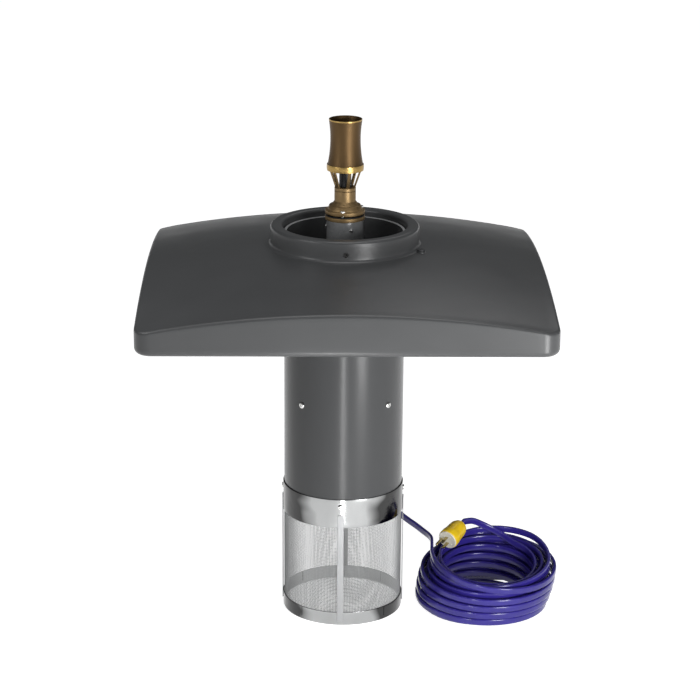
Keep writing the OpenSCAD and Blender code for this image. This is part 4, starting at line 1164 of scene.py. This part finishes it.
def make_plug():
    ribs, end = 14, PLUG_LEN - 3
    body = lathe("plug_shell", rounded([
        (0, 0, 0), (9, 0, 1.5), (13.6, 3, 2.5), (14.2, 8.4, 1), (16.6, 9.6, 1), (17.2, 14, 2),
        (18.2, 30, 3), (19.2, 36, 1), (PLUG_R, 37.4, 0.6), (PLUG_R, end, 1.2), (0, end, 0)], 4),
        ["plug"], 96)
    body = refinish(combine(body, [
        put(block("rib", 17.4, 22, -0.9, 0.9, 15, 34, "plug"), turned(TAU * (k + 0.5) / ribs))
        for k in range(ribs)]), "plug")
    rim, dish = PLUG_LEN - 0.3, PLUG_LEN - 1
    face = lathe("plug_disc", rounded([
        (0, end, 0), (18.3, end, 0), (18.3, rim, 1), (16, rim, 0.4), (15.6, dish, 0.3),
        (0, dish, 0)], 3), ["plug_front"], 96)
    face = refinish(combine(face, [
        put(rod("well", 1.8, PLUG_LEN - 2.4, PLUG_LEN + 1, "plug_front"), moved(9, y, 0))
        for y in (8, -8)]), "plug_front")
    root = PLUG_LEN - 1.5
    tip = PLUG_LEN + BLADE_OUT
    blades = [block("blade", -3.15, 3.15, y - 0.75, y + 0.75, root, tip, "contact", 0.35)
              for y in (-BLADE_Y, BLADE_Y)]
    pair = gather("plug_contacts", [(blade, Matrix()) for blade in blades], "contact")
    tip = PLUG_LEN + PIN_OUT
    pin = lathe("plug_ground", rounded([
        (0, root, 0), (2.4, root, 0), (2.4, tip, 1.6), (0, tip, 0)], 5), ["contact"], 32)
    put(pin, moved(PIN_X, 0, 0))
    return [dress(at_plug(obj), "hull", slot, node) for obj, slot, node in (
        (body, "plug", "plug_body"), (face, "plug_front", "plug_face"),
        (pair, "contact", "plug_blades"), (pin, "contact", "plug_pin"))]


plug_pieces = make_plug()

# ---- carried-over solids
for slot, nodes in CARRIED.items():
    for node in nodes:
        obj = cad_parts[node]
        if not obj.data.materials:
            obj.data.materials.append(MATS[slot])
        for held in obj.material_slots:
            held.material = MATS[slot]

# ---- stage, in metres
FLOOR_HALF = 300.0
FLOOR_DROP = 0.0004
FLOOR_GLOW = 0.93
ROOM_COLOR, ROOM_GLOW = (0.95, 0.97, 1, 1), 0.1
# Name, place, target, width, height and power of each lamp
LAMPS = (
    ("key_light", (1.5, -2.9, 0.9), (0, 0, 0.5), 0.8, 0.9, 40),
    ("right_light", (0.82, -1.28, 0.3), (0.05, -0.1, 0.56), 0.4, 0.5, 8.5),
    ("strip_light", (-0.015, -0.68, 0.2), (-0.003, 0, 0.2), 0.05, 0.4, 1.1),
    ("left_light", (-0.6, -0.45, 1.04), (0, 0, 0.87), 0.3, 0.4, 1.2),
    ("top_light", (0.1, -0.5, 3.0), (0, 0, 0.4), 1.6, 1.6, 19),
    ("back_light", (0.9, 2.4, 3.4), (0, 0, 0.5), 1.6, 1.6, 9),
)


def area(name, place, target, width, height, energy):
    data = bpy.data.lights.new(name, "AREA")
    data.shape = "RECTANGLE"
    data.size = width
    data.size_y = height
    data.energy = energy
    obj = add_object(name, data)
    obj.location = place
    obj.rotation_euler = (Vector(target) - Vector(place)).to_track_quat("-Z", "Y").to_euler()
    obj.visible_camera = False


def path_mix(tree, seen, unseen):
    """Seen by camera, glossy and transmission rays, and unseen by the rest."""
    rays = tree.nodes.new("ShaderNodeLightPath")
    total = rays.outputs["Is Camera Ray"]
    for other in ("Is Glossy Ray", "Is Transmission Ray"):
        add = tree.nodes.new("ShaderNodeMath")
        add.operation = "ADD"
        add.use_clamp = True
        tree.links.new(total, add.inputs[0])
        tree.links.new(rays.outputs[other], add.inputs[1])
        total = add.outputs[0]
    blend = tree.nodes.new("ShaderNodeMixShader")
    tree.links.new(total, blend.inputs[0])
    tree.links.new(unseen, blend.inputs[1])
    tree.links.new(seen, blend.inputs[2])
    return blend.outputs[0]


def make_stage():
    world = bpy.data.worlds.new("studio")
    bpy.context.scene.world = world
    world.use_nodes = True
    room = world.node_tree.nodes["Background"]
    room.inputs["Color"].default_value = ROOM_COLOR
    room.inputs["Strength"].default_value = ROOM_GLOW

    mesh = bpy.data.meshes.new("floor")
    mesh.from_pydata([(x * FLOOR_HALF, y * FLOOR_HALF, 0)
                      for x, y in ((-1, -1), (1, -1), (1, 1), (-1, 1))], [], [(0, 1, 2, 3)])
    floor = add_object("floor", mesh)
    floor.location.z = -FLOOR_DROP
    mat = bpy.data.materials.new("floor_pale")
    mat.use_nodes = True
    tree = mat.node_tree
    bsdf = tree.nodes["Principled BSDF"]
    bsdf.inputs["Base Color"].default_value = (0.8, 0.8, 0.8, 1)
    bsdf.inputs["Roughness"].default_value = 0.9
    bsdf.inputs["Specular IOR Level"].default_value = 0.1
    glow = tree.nodes.new("ShaderNodeEmission")
    glow.inputs["Strength"].default_value = FLOOR_GLOW
    add = tree.nodes.new("ShaderNodeAddShader")
    tree.links.new(bsdf.outputs[0], add.inputs[0])
    tree.links.new(glow.outputs[0], add.inputs[1])
    shown = path_mix(tree, add.outputs[0], bsdf.outputs[0])
    tree.links.new(shown, tree.nodes["Material Output"].inputs["Surface"])
    mesh.materials.append(mat)

    for lamp in LAMPS:
        area(*lamp)


make_stage()
bpy.context.scene.view_settings.view_transform = "Standard"
